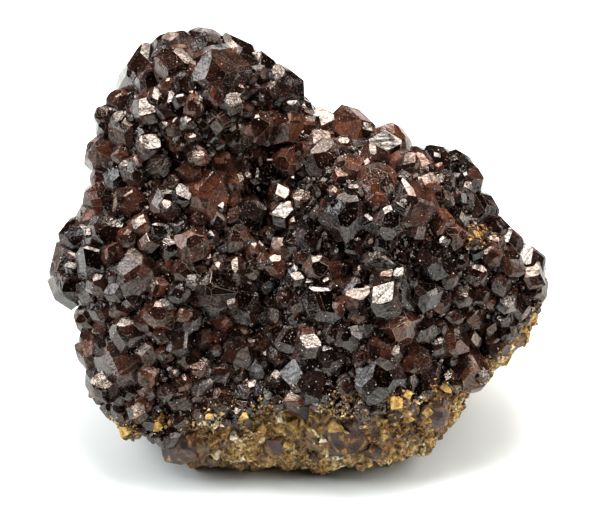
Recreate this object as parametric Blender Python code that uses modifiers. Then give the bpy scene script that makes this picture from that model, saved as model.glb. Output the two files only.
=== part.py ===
"""Garnet in matrix: a crust of dark brown-red garnet crystals, grown together, on ochre-brown rock.

The rock rests on a flat underside at z = 0 with its crystal face leaning back. Shapes are laid out in a face
frame: across (to the right), up (up the leaning face) and out (away from the face, towards the viewer).
"""

import math
import random

import bmesh
import bpy
from mathutils import Euler, Matrix, Vector, noise

MM = 0.001

# The specimen's driving dimensions: it is 75 mm wide across its face
FACE_LEAN = math.radians(35)  # how far the crystal face leans back from upright
FACE_CENTRE = Vector((0.65, -4.6, 27.5)) * MM  # this puts the origin under the specimen's middle
FRONT_BULGE = 8 * MM  # of the face above the rim's plane
BACK_DEPTH = 30 * MM  # of the rock behind the rim's plane
CRUST_THICKNESS = 3 * MM  # of the massive garnet between the rock and the crystals
CRUST_ROOT = 1.5 * MM  # how far the massive garnet first reaches into the rock, before it is cut clear
CRYSTAL_PROUD = 4.0 * MM  # how far the rim's crystals stand outside the rock's own rim
GAP = 0.35 * MM  # clearance between pieces that touch

# The outline seen square to the face: radius in millimetres about the hub, every 15 degrees from +across
HUB = Vector((-1.5, -1.5)) * MM
OUTLINE_MM = [
    38.2, 32.4, 31.2, 26.0, 24.4, 23.6, 28.4, 35.4, 39.6, 37.8, 35.0, 32.4,
    35.8, 34.2, 35.4, 35.8, 34.8, 32.0, 30.2, 32.2, 34.2, 34.2, 34.6, 38.0,
]
# Latitude on the body, in degrees, where the crust ends, every 15 degrees from +across: 90 is the middle of
# the face, 0 the rim, and below 0 the back
CRUST_EDGE_DEG = [
    -8, -22, -28, -28, -24, -20, -24, -30, -32, -32, -28, -26,
    -24, -20, -6, 14, 36, 44, 49, 47, 45, 36, 22, 20,
]

# Broad relief of the face: (across, up, spread, height) in millimetres
SWELLS_MM = [
    (-15, 25, 8, 6.0),  # upper left knob
    (-25, -4, 9, 4.0),  # left flank
    (13, 7, 10, 5.0),  # right lobe
    (9, -14, 7, 3.0),  # lower right
    (-4, 12, 5, -4.5),  # trough between the lobes, upper part
    (-7, -13, 5, -3.0),  # trough, lower part
    (26, -12, 4, -3.5),  # pocket beside the right edge
]

# Leading crystals of each part of the face: (across, up, diameter) in millimetres
LEADING_CRYSTALS_MM = {
    "upper_left_knob": [
        (-18.5, 32.0, 6.0), (-23.5, 28.0, 6.5), (-15.5, 30.5, 7.5), (-12.5, 26.5, 6.5),
        (-10.5, 31.0, 5.2), (-7.0, 29.5, 6.0), (-2.5, 24.5, 7.5),
    ],
    "left_flank": [
        (-29.5, 20.5, 5.4), (-25.5, 18.5, 5.2), (-30.0, 15.0, 5.6), (-25.0, 12.5, 5.2),
        (-25.0, 7.5, 5.8), (-29.5, 8.5, 5.2), (-31.5, 5.0, 5.6), (-28.0, 2.0, 6.0),
        (-33.0, -2.0, 8.5), (-24.0, -2.5, 7.0),
    ],
    "lower_left": [
        (-30.5, -8.5, 5.2), (-25.0, -15.5, 9.0), (-29.0, -19.5, 7.0), (-17.5, -21.0, 4.6),
    ],
    "saddle": [
        (-15.5, 9.0, 7.5), (-7.0, 19.0, 5.2), (-2.0, 18.5, 5.2), (-4.0, 12.5, 5.4),
    ],
    "middle": [
        (-13.0, -5.5, 6.4), (-10.0, -14.0, 5.0), (-1.5, -12.0, 5.0),
    ],
    "right_ridge": [
        (3.0, 18.5, 6.4), (8.0, 18.5, 8.0), (13.5, 17.0, 6.0), (-1.0, 14.0, 5.0), (3.5, 14.0, 5.8),
        (11.5, 10.5, 5.0), (6.5, 7.0, 5.8), (8.0, 3.5, 5.2), (16.5, 6.5, 7.6), (20.0, 14.5, 5.2),
        (24.0, 12.5, 6.4), (23.5, 7.5, 5.0), (12.5, 2.5, 5.2),
    ],
    "right_point": [
        (30.5, 1.5, 4.6), (33.5, -0.5, 4.8), (34.0, -5.0, 4.8), (29.5, -3.0, 4.6),
    ],
    "right_lobe": [
        (19.5, -1.0, 6.6), (11.5, -0.5, 5.0), (3.5, -7.0, 7.0), (13.0, -6.0, 5.6),
        (18.0, -6.5, 5.2), (14.0, -10.0, 5.6),
    ],
    "lower_right": [
        (21.5, -12.0, 6.0), (25.0, -17.5, 5.4), (16.0, -15.0, 5.2), (18.5, -20.0, 5.2),
        (11.0, -14.5, 6.0), (11.0, -18.5, 6.4), (1.5, -18.0, 7.0), (4.5, -15.0, 5.0),
    ],
}
LARGE_CRYSTAL = 8.0 * MM  # crystals from this size up show both kinds of face
LEADING_SWELL = 1.08  # times its diameter, so that a leading crystal also fills the place of small ones
CRYSTAL_RISE = 0.10  # of its diameter, how far a crystal's middle stands above the crust

# Crystals that fill the crust between the leading ones, from the middle of the face round to its back edge
FILLERS = 96
FILLER_TRIES = 9000
FILLER_SIZE = (5.2 * MM, 6.6 * MM)
FILLER_SPACING = 0.475  # of the two diameters' sum

# The rock's broken faces: (direction they look in, distance from the rock's middle in millimetres)
BREAKS = [
    ((0.25, 0.95, 0.10), 26.0), ((-0.55, 0.80, 0.15), 27.0), ((0.75, 0.60, -0.05), 30.0),
    ((-0.95, 0.20, -0.35), 31.0), ((-0.20, 0.65, 0.75), 32.0), ((0.45, 0.55, -0.70), 26.0),
    ((0.20, -0.55, -0.80), 30.5), ((0.80, -0.20, -0.55), 34.5), ((-0.60, -0.30, -0.75), 34.0),
]
ROCK_MIDDLE = FACE_CENTRE + Vector((0, 2, -3.5)) * MM
LUMP_HEIGHT = 2.2 * MM
LUMP_SPACING = 7 * MM
CRUMB_HEIGHT = 1.1 * MM
CRUMB_SPACING = 2.6 * MM
EDGE_STEP = math.radians(7)  # of latitude, in which the rock drops from its own surface to below the crust

# Single garnets held in the rock below the crust: (across, up, diameter) in millimetres
ROCK_GARNETS_MM = {
    "rock_garnet_left": (-16.5, -28.8, 4.4),
    "rock_garnet_middle": (7.2, -26.2, 5.6),
    "rock_garnet_right": (20.2, -23.0, 4.2),
}
ROCK_GARNET_SINK = 0.12  # of its diameter, how far its middle lies below the rock's surface

# Grid of the round bodies: (round the hub, from pole to pole)
ROCK_GRID = (42, 21)
CRUST_GRID = (30, 20)
FLOOR_BLOCK = (0.25, 0.25, 0.06)  # the block that cuts the underside flat

ROCK_COLOUR = (0.21, 0.13, 0.055, 1)
GARNET_COLOUR = (0.055, 0.016, 0.011, 1)


def face_axes():
    """The face frame as a matrix: across, up and out are its columns, and the face's middle its origin."""
    across = Vector((1, 0, 0))
    up = Vector((0, math.sin(FACE_LEAN), math.cos(FACE_LEAN)))
    out = Vector((0, -math.cos(FACE_LEAN), math.sin(FACE_LEAN)))
    frame = Matrix((across, up, out)).transposed().to_4x4()
    frame.translation = FACE_CENTRE
    return frame


FACE = face_axes()


def around(values, angle):
    """A smooth closed curve through evenly spaced values, read at an angle: a Catmull-Rom spline."""
    count = len(values)
    place = (angle / math.tau * count) % count
    first = int(place)
    step = place - first
    before, here, after, beyond = (values[(first + k) % count] for k in (-1, 0, 1, 2))
    slope_here = (after - before) / 2
    slope_after = (beyond - here) / 2
    return (
        here * (1 + 2 * step) * (1 - step) ** 2
        + slope_here * step * (1 - step) ** 2
        + after * (3 - 2 * step) * step**2
        - slope_after * (1 - step) * step**2
    )


def crust_edge(angle):
    return math.radians(around(CRUST_EDGE_DEG, angle))


def rim_radius(angle):
    """The body's own rim: the outline, drawn in where crystals stand outside it."""
    crusted = max(0.0, min(1.0, 0.5 - crust_edge(angle) / math.radians(30)))
    return around(OUTLINE_MM, angle) * MM - CRYSTAL_PROUD * crusted


def relief(across, up):
    """Height of the broad lobes and troughs at a place on the face: a sum of bell shapes."""
    total = 0.0
    for centre_across, centre_up, spread, height in SWELLS_MM:
        away = (across / MM - centre_across) ** 2 + (up / MM - centre_up) ** 2
        total += height * MM * math.exp(-away / (2 * spread**2))
    return total


def body_point(angle, latitude, inset=0.0):
    """A place on the body, in the face frame: the front is a low dome with lobes, the back a deeper one."""
    reach = math.cos(latitude)
    radius = rim_radius(angle) * reach
    across = HUB.x + radius * math.cos(angle)
    up = HUB.y + radius * math.sin(angle)
    if latitude >= 0:
        rise = math.sqrt(max(0.0, 1 - reach**4))
        out = FRONT_BULGE * rise + relief(across, up) * min(1.0, 2 * rise)
    else:
        out = -BACK_DEPTH * math.sqrt(max(0.0, 1 - reach**3))
    outward = Vector((reach * math.cos(angle), reach * math.sin(angle), math.sin(latitude)))
    return Vector((across, up, out)) - inset * outward


def face_point(across, up):
    """The front surface's place straight behind a point of the face."""
    from_hub = Vector((across, up)) - HUB
    angle = math.atan2(from_hub.y, from_hub.x)
    reach = min(0.99, from_hub.length / rim_radius(angle))
    out = body_point(angle, math.acos(reach)).z
    return Vector((across, up, out))


def material(name, colour, roughness):
    made = bpy.data.materials.new(name)
    made.use_nodes = True
    shader = made.node_tree.nodes["Principled BSDF"]
    shader.inputs["Base Color"].default_value = colour
    shader.inputs["Roughness"].default_value = roughness
    return made


def add_object(name, mesh, collection, surface=None):
    made = bpy.data.objects.new(name, mesh)
    collection.objects.link(made)
    if surface:
        made.data.materials.append(surface)
    return made


def ball_mesh(name, segments, rings, place):
    """A UV sphere whose points are moved to place(angle, latitude) of the face frame."""
    shape = bmesh.new()
    bmesh.ops.create_uvsphere(shape, u_segments=segments, v_segments=rings, radius=1)
    for point in shape.verts:
        angle = math.atan2(point.co.y, point.co.x)
        latitude = math.asin(max(-1.0, min(1.0, point.co.z)))
        point.co = FACE @ place(angle, latitude)
    bmesh.ops.triangulate(shape, faces=shape.faces)
    bmesh.ops.recalc_face_normals(shape, faces=shape.faces)
    mesh = bpy.data.meshes.new(name)
    shape.to_mesh(mesh)
    shape.free()
    return mesh


def rock_point(angle, latitude):
    """The rock's surface: the body, lowered under the crust, broken flat at the back, and rough elsewhere."""
    under = max(0.0, min(1.0, (latitude - crust_edge(angle)) / EDGE_STEP))
    inset = CRUST_THICKNESS * under * under * (3 - 2 * under)
    point = FACE @ body_point(angle, latitude, inset)
    for direction, distance_mm in BREAKS:
        normal = Vector(direction).normalized()
        beyond = (point - ROCK_MIDDLE).dot(normal) - distance_mm * MM
        if beyond > 0 and under < 1:
            point -= normal * beyond * (1 - under)
    outward = (point - ROCK_MIDDLE).normalized()
    lumps = noise.noise(point / LUMP_SPACING) * LUMP_HEIGHT
    crumbs = noise.noise(point / CRUMB_SPACING + Vector((5, 2, 9))) * CRUMB_HEIGHT
    return FACE.inverted() @ (point + outward * (lumps + crumbs) * (1 - 0.7 * under))


def crust_layer_point(angle, latitude):
    """The massive garnet's outer surface, from the middle of the face down to the crust's edge."""
    edge = crust_edge(angle)
    lowered = edge + (math.pi / 2 - edge) * max(0.0, latitude) / (math.pi / 2)
    return body_point(angle, lowered)


def crystal_mesh(name, rhomb_distance):
    """A garnet of unit diameter: 24 faces {211}, with 12 rhombs {110} at rhomb_distance.

    With the {211} faces at distance 1, the rhombs cut the corners from 1.1547 inwards, and at 0.866 only
    they are left. The corners lie on the cube's axes and diagonals, and at each rhomb's two pairs of ends.
    """
    root2, root6 = math.sqrt(2), math.sqrt(6)
    long_end = (root6 - root2 * rhomb_distance, 2 * root2 * rhomb_distance - root6, 0.0)
    side = root2 * rhomb_distance / 2
    short_end = (side, side, root6 - 3 * side)
    axis_end = (root6 / 2, 0.0, 0.0)
    diagonal_end = (root6 / 4,) * 3
    shape = bmesh.new()
    corners = set()
    for end in (long_end, short_end, axis_end, diagonal_end):
        for order in ((0, 1, 2), (0, 2, 1), (1, 0, 2), (1, 2, 0), (2, 0, 1), (2, 1, 0)):
            for signs in range(8):
                flipped = [end[order[k]] * (-1 if signs >> k & 1 else 1) for k in range(3)]
                corners.add(tuple(round(value, 6) + 0.0 for value in flipped))
    for corner in sorted(corners):
        shape.verts.new(Vector(corner) / 2)
    hull = bmesh.ops.convex_hull(shape, input=shape.verts)
    loose = {item for item in hull["geom_interior"] if isinstance(item, bmesh.types.BMVert)}
    bmesh.ops.delete(shape, geom=list(loose), context="VERTS")
    bmesh.ops.dissolve_limit(shape, angle_limit=math.radians(1), verts=shape.verts, edges=shape.edges)
    bmesh.ops.recalc_face_normals(shape, faces=shape.faces)
    mesh = bpy.data.meshes.new(name)
    shape.to_mesh(mesh)
    shape.free()
    return mesh


def dodecahedron_mesh(name):
    """The plain garnet form of 12 rhombs {110}, of unit diameter: a cube's corners and axis ends."""
    shape = bmesh.new()
    for x in (-1, 1):
        for y in (-1, 1):
            for z in (-1, 1):
                shape.verts.new(Vector((x, y, z)) * 0.29)
    for axis in range(3):
        for sign in (-1, 1):
            shape.verts.new(Vector([sign * 0.58 if k == axis else 0.0 for k in range(3)]))
    bmesh.ops.convex_hull(shape, input=shape.verts)
    bmesh.ops.dissolve_limit(shape, angle_limit=math.radians(1), verts=shape.verts, edges=shape.edges)
    bmesh.ops.recalc_face_normals(shape, faces=shape.faces)
    mesh = bpy.data.meshes.new(name)
    shape.to_mesh(mesh)
    shape.free()
    return mesh


def crystal_turn(across, up):
    """A crystal's own turn, the same for the same place on the face."""
    draw = random.Random(f"{across:.4f} {up:.4f}")
    return Euler([draw.uniform(0, math.tau) for _ in range(3)])


def leading_sites():
    """(place in the face frame, diameter) of the largest crystals that the front shows."""
    sites = []
    for group in LEADING_CRYSTALS_MM.values():
        for across_mm, up_mm, size_mm in group:
            size = size_mm * MM * LEADING_SWELL
            place = face_point(across_mm * MM, up_mm * MM)
            sites.append((place + Vector((0, 0, CRYSTAL_RISE * size)), size))
    return sites


def filler_sites(taken):
    """More crystals over the whole crust, in seeded random places that are clear of those before them."""
    draw = random.Random(7)
    sites = []
    for _ in range(FILLER_TRIES):
        angle = draw.uniform(0, math.tau)
        lowest = crust_edge(angle) + EDGE_STEP
        latitude = math.asin(draw.uniform(math.sin(lowest), 1))
        size = draw.uniform(*FILLER_SIZE)
        place = body_point(angle, latitude, -CRYSTAL_RISE * size)
        near = ((place - other).length < FILLER_SPACING * (size + width) for other, width in taken + sites)
        if not any(near):
            sites.append((place, size))
        if len(sites) == FILLERS:
            break
    return sites


def place_crystal(name, mesh, site, collection):
    place, size = site
    made = add_object(name, mesh, collection)
    turn = crystal_turn(place.x, place.y).to_matrix().to_4x4()
    made.matrix_world = Matrix.Translation(FACE @ place) @ turn @ Matrix.Scale(size, 4)
    return made


def boolean(target, operation, operand):
    """Joins or cuts target with an object, or with every object of a collection."""
    made = target.modifiers.new(operation.lower(), "BOOLEAN")
    made.operation = operation
    made.solver = "EXACT"
    if isinstance(operand, bpy.types.Collection):
        made.operand_type = "COLLECTION"
        made.collection = operand
    else:
        made.object = operand
    return made


def without_chips(source):
    """Applies the modifiers and keeps the largest connected piece, so that no loose chip of a cut stays."""
    graph = bpy.context.evaluated_depsgraph_get()
    mesh = bpy.data.meshes.new_from_object(source.evaluated_get(graph))
    shape = bmesh.new()
    shape.from_mesh(mesh)
    waiting = set(shape.verts)
    pieces = []
    while waiting:
        piece = set()
        front = [next(iter(waiting))]
        while front:
            point = front.pop()
            if point in waiting:
                waiting.discard(point)
                piece.add(point)
                front += [edge.other_vert(point) for edge in point.link_edges]
        pieces.append(piece)
    pieces.sort(key=len)
    chips = [point for piece in pieces[:-1] for point in piece]
    bmesh.ops.delete(shape, geom=chips, context="VERTS")
    shape.to_mesh(mesh)
    shape.free()
    source.modifiers.clear()
    source.data = mesh


def grown_copy(source, name, by, collection):
    """A cutter: the same shape with every point moved outwards along its normal."""
    mesh = source.data.copy()
    normals = [point.normal.copy() for point in mesh.vertices]
    for point, normal in zip(mesh.vertices, normals):
        point.co += normal * by
    made = add_object(name, mesh, collection)
    made.matrix_world = source.matrix_world.copy()
    return made


def build_rock(collection, cutters, surface):
    """The rock with its crust side lowered, and a cutter a little larger that keeps the crust clear of it."""
    mesh = ball_mesh("rock", *ROCK_GRID, rock_point)
    rock = add_object("rock_matrix", mesh, collection, surface)
    clearance = grown_copy(rock, "rock_clearance", GAP, cutters)
    floor_mesh = bpy.data.meshes.new("below_floor")
    shape = bmesh.new()
    block = Matrix.Translation((0, 0, -FLOOR_BLOCK[2] / 2)) @ Matrix.Diagonal((*FLOOR_BLOCK, 1))
    bmesh.ops.create_cube(shape, size=1, matrix=block)
    shape.to_mesh(floor_mesh)
    shape.free()
    floor = add_object("below_floor", floor_mesh, cutters)
    boolean(rock, "DIFFERENCE", floor)
    return rock, clearance


def build_crust(collection, helpers, clearance, surface):
    """The crust: a layer of massive garnet joined with all its crystals, and cut clear of the rock."""
    shape = bmesh.new()
    segments, rings = CRUST_GRID
    bmesh.ops.create_uvsphere(shape, u_segments=segments, v_segments=rings, radius=1)
    south = [point for point in shape.verts if point.co.z < -0.01]
    bmesh.ops.delete(shape, geom=south, context="VERTS")
    for point in shape.verts:
        angle = math.atan2(point.co.y, point.co.x)
        latitude = math.asin(max(-1.0, min(1.0, point.co.z)))
        point.co = FACE @ crust_layer_point(angle, latitude)
    bmesh.ops.recalc_face_normals(shape, faces=shape.faces)
    mesh = bpy.data.meshes.new("garnet_crust")
    shape.to_mesh(mesh)
    shape.free()
    crust = add_object("garnet_crust", mesh, collection, surface)
    thicken = crust.modifiers.new("thicken", "SOLIDIFY")
    thicken.thickness = CRUST_THICKNESS + CRUST_ROOT
    thicken.offset = -1

    plain = dodecahedron_mesh("plain_crystal")
    rich = crystal_mesh("rich_crystal", 1.04)
    sites = leading_sites()
    sites += filler_sites(sites)
    for number, site in enumerate(sites):
        form = rich if site[1] >= LARGE_CRYSTAL else plain
        place_crystal(f"crystal_{number:03d}", form, site, helpers)
    boolean(crust, "UNION", helpers)
    boolean(crust, "DIFFERENCE", clearance).solver = "MANIFOLD"
    return crust


def build_rock_garnets(rock, crust, collection, cutters, surface):
    """Single garnets, each in a socket that is larger all round by the gap."""
    form = dodecahedron_mesh("single_crystal")
    for name, (across_mm, up_mm, size_mm) in ROCK_GARNETS_MM.items():
        size = size_mm * MM
        place = face_point(across_mm * MM, up_mm * MM) - Vector((0, 0, ROCK_GARNET_SINK * size))
        place_crystal(name, form.copy(), (place, size), collection).data.materials.append(surface)
        socket = place_crystal(f"{name}_socket", form, (place, size + 2 * GAP), cutters)
        boolean(rock, "DIFFERENCE", socket)
        boolean(crust, "DIFFERENCE", socket)


def helper_collection(name):
    made = bpy.data.collections.new(name)
    bpy.context.scene.collection.children.link(made)
    return made


def hide_helpers(collection):
    for helper in collection.objects:
        helper.hide_render = True
        helper.display_type = "WIRE"


def main():
    for leftover in list(bpy.data.objects):
        bpy.data.objects.remove(leftover)
    specimen = helper_collection("garnet_in_matrix")
    cutters = helper_collection("cutters")
    crystals = helper_collection("crystals")
    rock_surface = material("ochre_rock", ROCK_COLOUR, 0.85)
    garnet_surface = material("garnet", GARNET_COLOUR, 0.2)

    rock, clearance = build_rock(specimen, cutters, rock_surface)
    crust = build_crust(specimen, crystals, clearance, garnet_surface)
    build_rock_garnets(rock, crust, specimen, cutters, garnet_surface)
    without_chips(rock)
    without_chips(crust)
    for collection in (cutters, crystals):
        hide_helpers(collection)


main()
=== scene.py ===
import math

import bmesh
import bpy
import numpy as np
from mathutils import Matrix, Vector
from mathutils.bvhtree import BVHTree


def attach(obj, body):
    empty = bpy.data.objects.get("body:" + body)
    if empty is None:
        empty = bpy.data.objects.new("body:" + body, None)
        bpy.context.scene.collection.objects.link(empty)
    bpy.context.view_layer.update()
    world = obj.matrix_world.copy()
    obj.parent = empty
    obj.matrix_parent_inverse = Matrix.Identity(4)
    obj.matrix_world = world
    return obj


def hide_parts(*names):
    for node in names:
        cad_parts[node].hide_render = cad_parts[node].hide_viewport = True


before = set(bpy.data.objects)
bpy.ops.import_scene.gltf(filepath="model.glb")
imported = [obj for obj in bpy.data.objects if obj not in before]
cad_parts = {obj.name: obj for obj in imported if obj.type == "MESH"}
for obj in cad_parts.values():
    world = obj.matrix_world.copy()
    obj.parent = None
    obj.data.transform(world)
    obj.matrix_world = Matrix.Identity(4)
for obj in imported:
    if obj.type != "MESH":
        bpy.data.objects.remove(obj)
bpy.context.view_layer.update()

MM = 0.001

# The specimen's layout, as its solids have it: a body seen square to its leaning face, in a frame of across, up
# and out, with an outline given as a radius in millimetres about a hub, every 15 degrees from +across
FACE_LEAN = math.radians(35)
FACE_CENTRE = np.array((0.65, -4.6, 27.5)) * MM
FRONT_BULGE = 8 * MM
BACK_DEPTH = 30 * MM
CRUST_THICKNESS = 3 * MM
CRYSTAL_PROUD = 4.0 * MM
EDGE_STEP = math.radians(7)
HUB = np.array((-1.5, -1.5)) * MM
OUTLINE_MM = (
    38.2, 32.4, 31.2, 26.0, 24.4, 23.6, 28.4, 35.4, 39.6, 37.8, 35.0, 32.4,
    35.8, 34.2, 35.4, 35.8, 34.8, 32.0, 30.2, 32.2, 34.2, 34.2, 34.6, 38.0,
)
# Latitude where the crust ends, in degrees at the same angles: 90 is the face's middle, 0 the rim
CRUST_EDGE_DEG = (
    -8, -22, -28, -28, -24, -20, -24, -30, -32, -32, -28, -26,
    -24, -20, -6, 14, 36, 44, 49, 47, 45, 36, 22, 20,
)
# Broad relief of the face: (across, up, spread, height) in millimetres
SWELLS_MM = (
    (-15, 25, 8, 6.0), (-25, -4, 9, 4.0), (13, 7, 10, 5.0), (9, -14, 7, 3.0),
    (-4, 12, 5, -4.5), (-7, -13, 5, -3.0), (26, -12, 4, -3.5),
)
# Deep hollows between the crystals: (across, up, spread, depth) in millimetres
POCKETS_MM = (
    (26.2, -13.5, 2.4, 2.2), (7.0, -1.5, 2.0, 1.6), (-21.5, -2.2, 2.2, 2.0), (-28.5, -10.5, 2.2, 1.8),
    (6.0, -17.2, 2.0, 1.6), (19.5, -18.0, 2.2, 1.8), (15.0, -13.5, 1.8, 1.5), (-5.2, 21.5, 2.6, 2.4),
    (-5.0, 15.5, 2.6, 2.0), (-5.4, 7.5, 2.2, 1.8), (-4.2, 3.0, 2.0, 1.4), (-5.0, -6.0, 1.8, 1.2),
)
# The faces on which the rock broke off behind: (direction, distance in millimetres from its middle)
BREAKS = (
    ((0.25, 0.95, 0.10), 26.0), ((-0.55, 0.80, 0.15), 27.0), ((0.75, 0.60, -0.05), 30.0),
    ((-0.95, 0.20, -0.35), 31.0), ((-0.20, 0.65, 0.75), 32.0), ((0.45, 0.55, -0.70), 26.0),
    ((0.20, -0.55, -0.80), 30.5), ((0.80, -0.20, -0.55), 34.5), ((-0.60, -0.30, -0.75), 34.0),
)
ROCK_MIDDLE = FACE_CENTRE + np.array((0, 2, -3.5)) * MM
LUMP_HEIGHT = 2.2 * MM
LUMP_SPACING = 7 * MM
BLOCK_SPACING = 2.6 * MM
CHIP_SPACING = 1.0 * MM

ACROSS = np.array((1.0, 0.0, 0.0))
UP = np.array((0.0, math.sin(FACE_LEAN), math.cos(FACE_LEAN)))
OUT = np.array((0.0, -math.cos(FACE_LEAN), math.sin(FACE_LEAN)))
FACE_TURN = np.stack((ACROSS, UP, OUT), axis=1)

# Crystals of each part of the face: (across, up, diameter of what shows) in millimetres
CRYSTALS_MM = {
    "upper_left_knob": (
        (-19.0, 31.5, 7.6), (-14.2, 30.6, 8.4), (-9.4, 30.4, 7.0), (-5.4, 28.4, 7.0), (-24.0, 27.6, 8.2),
        (-18.3, 27.6, 5.6), (-12.4, 26.5, 7.4), (-3.6, 24.2, 7.8), (-21.9, 25.9, 4.2), (-17.1, 25.3, 3.3),
        (-19.5, 25.0, 2.4), (-26.7, 22.6, 3.6), (-21.0, 23.7, 2.4), (-22.5, 22.0, 3.9), (-29.4, 20.5, 4.8),
        (-10.3, 22.8, 2.7), (-19.5, 21.7, 3.6), (-15.6, 22.0, 3.0), (-12.4, 19.9, 3.3), (-6.9, 19.0, 4.8),
        (-2.1, 18.7, 4.8), (-25.6, 18.4, 4.8), (-18.7, 19.0, 3.0), (-22.5, 17.2, 3.3), (-15.7, 17.7, 2.1),
        (-9.4, 17.4, 3.9), (-30.1, 15.0, 4.5), (-24.0, 15.0, 2.1), (-15.3, 15.3, 3.0),
    ),
    "right_lobe": (
        (3.3, 18.7, 5.4), (7.5, 18.7, 6.6), (13.2, 16.8, 4.8), (3.6, 13.9, 5.7), (-1.5, 13.8, 4.5),
        (7.3, 12.4, 4.2), (10.9, 13.9, 4.2), (15.3, 12.7, 4.2), (18.0, 13.0, 3.9), (20.2, 13.9, 4.5),
        (23.4, 13.0, 4.5), (25.8, 11.5, 4.8), (11.7, 10.2, 5.1), (19.0, 10.2, 3.0), (21.3, 10.5, 3.0),
        (21.3, 8.2, 3.0), (16.5, 7.0, 6.3), (23.8, 8.2, 4.2), (27.1, 7.2, 4.5), (3.6, 9.7, 3.0),
        (0.5, 9.3, 2.4), (7.2, 5.5, 6.6), (2.4, 5.0, 4.8), (12.9, 4.7, 5.1), (20.4, 4.7, 3.6),
        (22.6, 2.5, 3.6), (29.5, 4.0, 3.6), (31.5, 1.8, 3.9), (25.5, 2.2, 2.7), (29.0, 1.5, 2.7),
        (19.5, -1.0, 5.4), (34.2, -1.6, 5.1), (35.7, -5.1, 4.5), (30.5, -1.5, 4.5), (26.3, -3.0, 3.3),
        (23.7, -1.0, 2.4), (31.0, -6.4, 2.7), (18.1, -5.8, 4.8), (20.5, -7.0, 3.0), (24.0, -6.0, 3.3),
        (32.4, -7.6, 3.6), (30.3, -8.7, 3.0), (25.5, -9.1, 3.6), (21.7, -12.4, 5.4), (18.0, -11.2, 3.9),
        (28.8, -12.1, 2.7), (28.5, -14.5, 2.4), (25.2, -17.5, 5.1), (16.8, -15.4, 4.5), (20.0, -16.6, 2.1),
        (18.1, -19.6, 4.5),
    ),
    "left_flank": (
        (-29.8, 11.4, 2.7), (-29.5, 8.2, 4.8), (-26.7, 11.2, 3.9), (-24.0, 12.3, 4.2), (-24.9, 7.5, 5.1),
        (-28.2, 2.8, 6.0), (-31.5, 5.0, 4.5), (-34.2, -1.5, 7.5), (-30.4, -1.0, 5.1), (-24.3, -2.7, 6.6),
        (-19.8, 7.8, 4.5), (-15.0, 9.0, 7.5), (-21.0, 3.3, 3.0), (-17.8, 4.0, 2.4), (-19.5, 1.0, 3.0),
        (-31.0, -5.5, 3.6), (-24.6, -6.7, 2.7), (-12.0, 13.3, 3.9), (-10.5, 10.8, 3.3), (-4.2, 12.4, 4.8),
        (-2.4, 8.5, 4.2), (-10.5, 8.5, 3.0), (-7.5, 6.0, 4.2), (-10.2, 5.5, 2.7), (-12.5, 5.1, 3.0),
        (-9.7, 2.4, 3.6), (-15.9, 1.5, 4.5), (-11.7, 1.2, 2.4), (-2.2, 5.7, 4.5), (-0.9, 1.8, 3.3),
        (-4.5, 2.7, 2.7), (-2.4, 0.6, 3.3), (-3.5, -1.6, 3.3), (-5.5, -1.0, 2.7), (-7.6, -2.2, 3.0),
        (-5.1, -3.9, 3.6), (-9.9, -2.5, 3.9), (-12.9, -5.5, 6.6), (-16.0, -3.7, 2.4), (-17.4, -2.7, 3.3),
        (-19.8, -1.6, 2.7), (-0.5, -3.0, 3.0),
    ),
    "middle": (
        (1.6, 1.8, 3.9), (2.5, -1.8, 3.9), (6.1, -2.0, 3.6), (3.7, -7.4, 6.3), (0.0, -7.2, 3.3),
        (8.5, -5.5, 3.9), (13.2, -5.0, 6.3), (8.5, -8.2, 3.0), (11.4, -8.4, 3.0), (14.5, -10.2, 5.7),
        (7.5, -12.0, 3.9), (1.6, -12.4, 4.2), (-1.4, -12.0, 4.8), (11.4, -0.9, 4.5), (12.3, 1.5, 3.3),
        (15.7, 0.0, 2.4), (9.6, -10.5, 2.7), (5.0, -11.7, 3.0),
    ),
    "lower_face": (
        (-31.4, -9.4, 3.9), (-31.0, -12.1, 3.6), (-29.0, -8.2, 3.6), (-26.4, -8.0, 3.0), (-29.0, -13.6, 3.0),
        (-31.8, -14.5, 3.9), (-29.0, -19.5, 6.6), (-25.8, -16.6, 6.9), (-25.2, -11.5, 4.8), (-21.0, -8.7, 4.2),
        (-17.0, -9.7, 3.9), (-18.0, -13.0, 3.9), (-16.5, -15.4, 3.3), (-14.8, -17.0, 3.3), (-18.7, -17.2, 2.4),
        (-20.1, -20.0, 2.7), (-18.0, -21.5, 3.9), (-23.5, -22.6, 3.9), (-27.0, -20.8, 3.3), (-26.4, -23.4, 3.0),
        (-21.9, -24.0, 3.6), (-27.9, -23.0, 3.0), (-15.0, -19.3, 3.3), (-15.3, -21.1, 2.4), (-14.2, -23.0, 3.6),
        (-15.6, -24.6, 2.1), (-12.7, -24.5, 2.4), (-12.1, -9.9, 3.0), (-9.6, -11.8, 3.3), (-10.0, -14.7, 5.7),
        (-11.8, -17.7, 3.9), (-9.3, -17.9, 2.7), (-5.8, -17.2, 3.6), (-6.0, -12.9, 3.3), (-8.4, -7.3, 4.5),
        (-5.5, -9.0, 3.0), (-3.5, -8.7, 3.0), (1.5, -18.3, 7.2), (4.2, -20.1, 3.9), (-0.9, -21.0, 3.0),
        (-5.7, -21.1, 3.9), (-7.9, -20.5, 2.7), (-8.2, -22.6, 2.4), (-11.7, -22.0, 4.2), (4.8, -15.4, 4.8),
        (11.9, -14.4, 5.4), (11.4, -18.3, 6.9), (6.7, -19.3, 3.6), (9.3, -22.0, 3.3), (7.2, -15.2, 2.4),
        (14.2, -13.7, 3.0), (-34.4, 3.6, 5.4), (-34.8, -4.8, 5.6),
    ),
}

# The overhead lamp's direction, and the direction of a face that throws its light to the camera
LAMP = np.array((0.06, 0.20, 0.97))
GLINT_DIRECTION = LAMP / np.linalg.norm(LAMP) + OUT
GLINT_DIRECTION /= np.linalg.norm(GLINT_DIRECTION)

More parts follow.
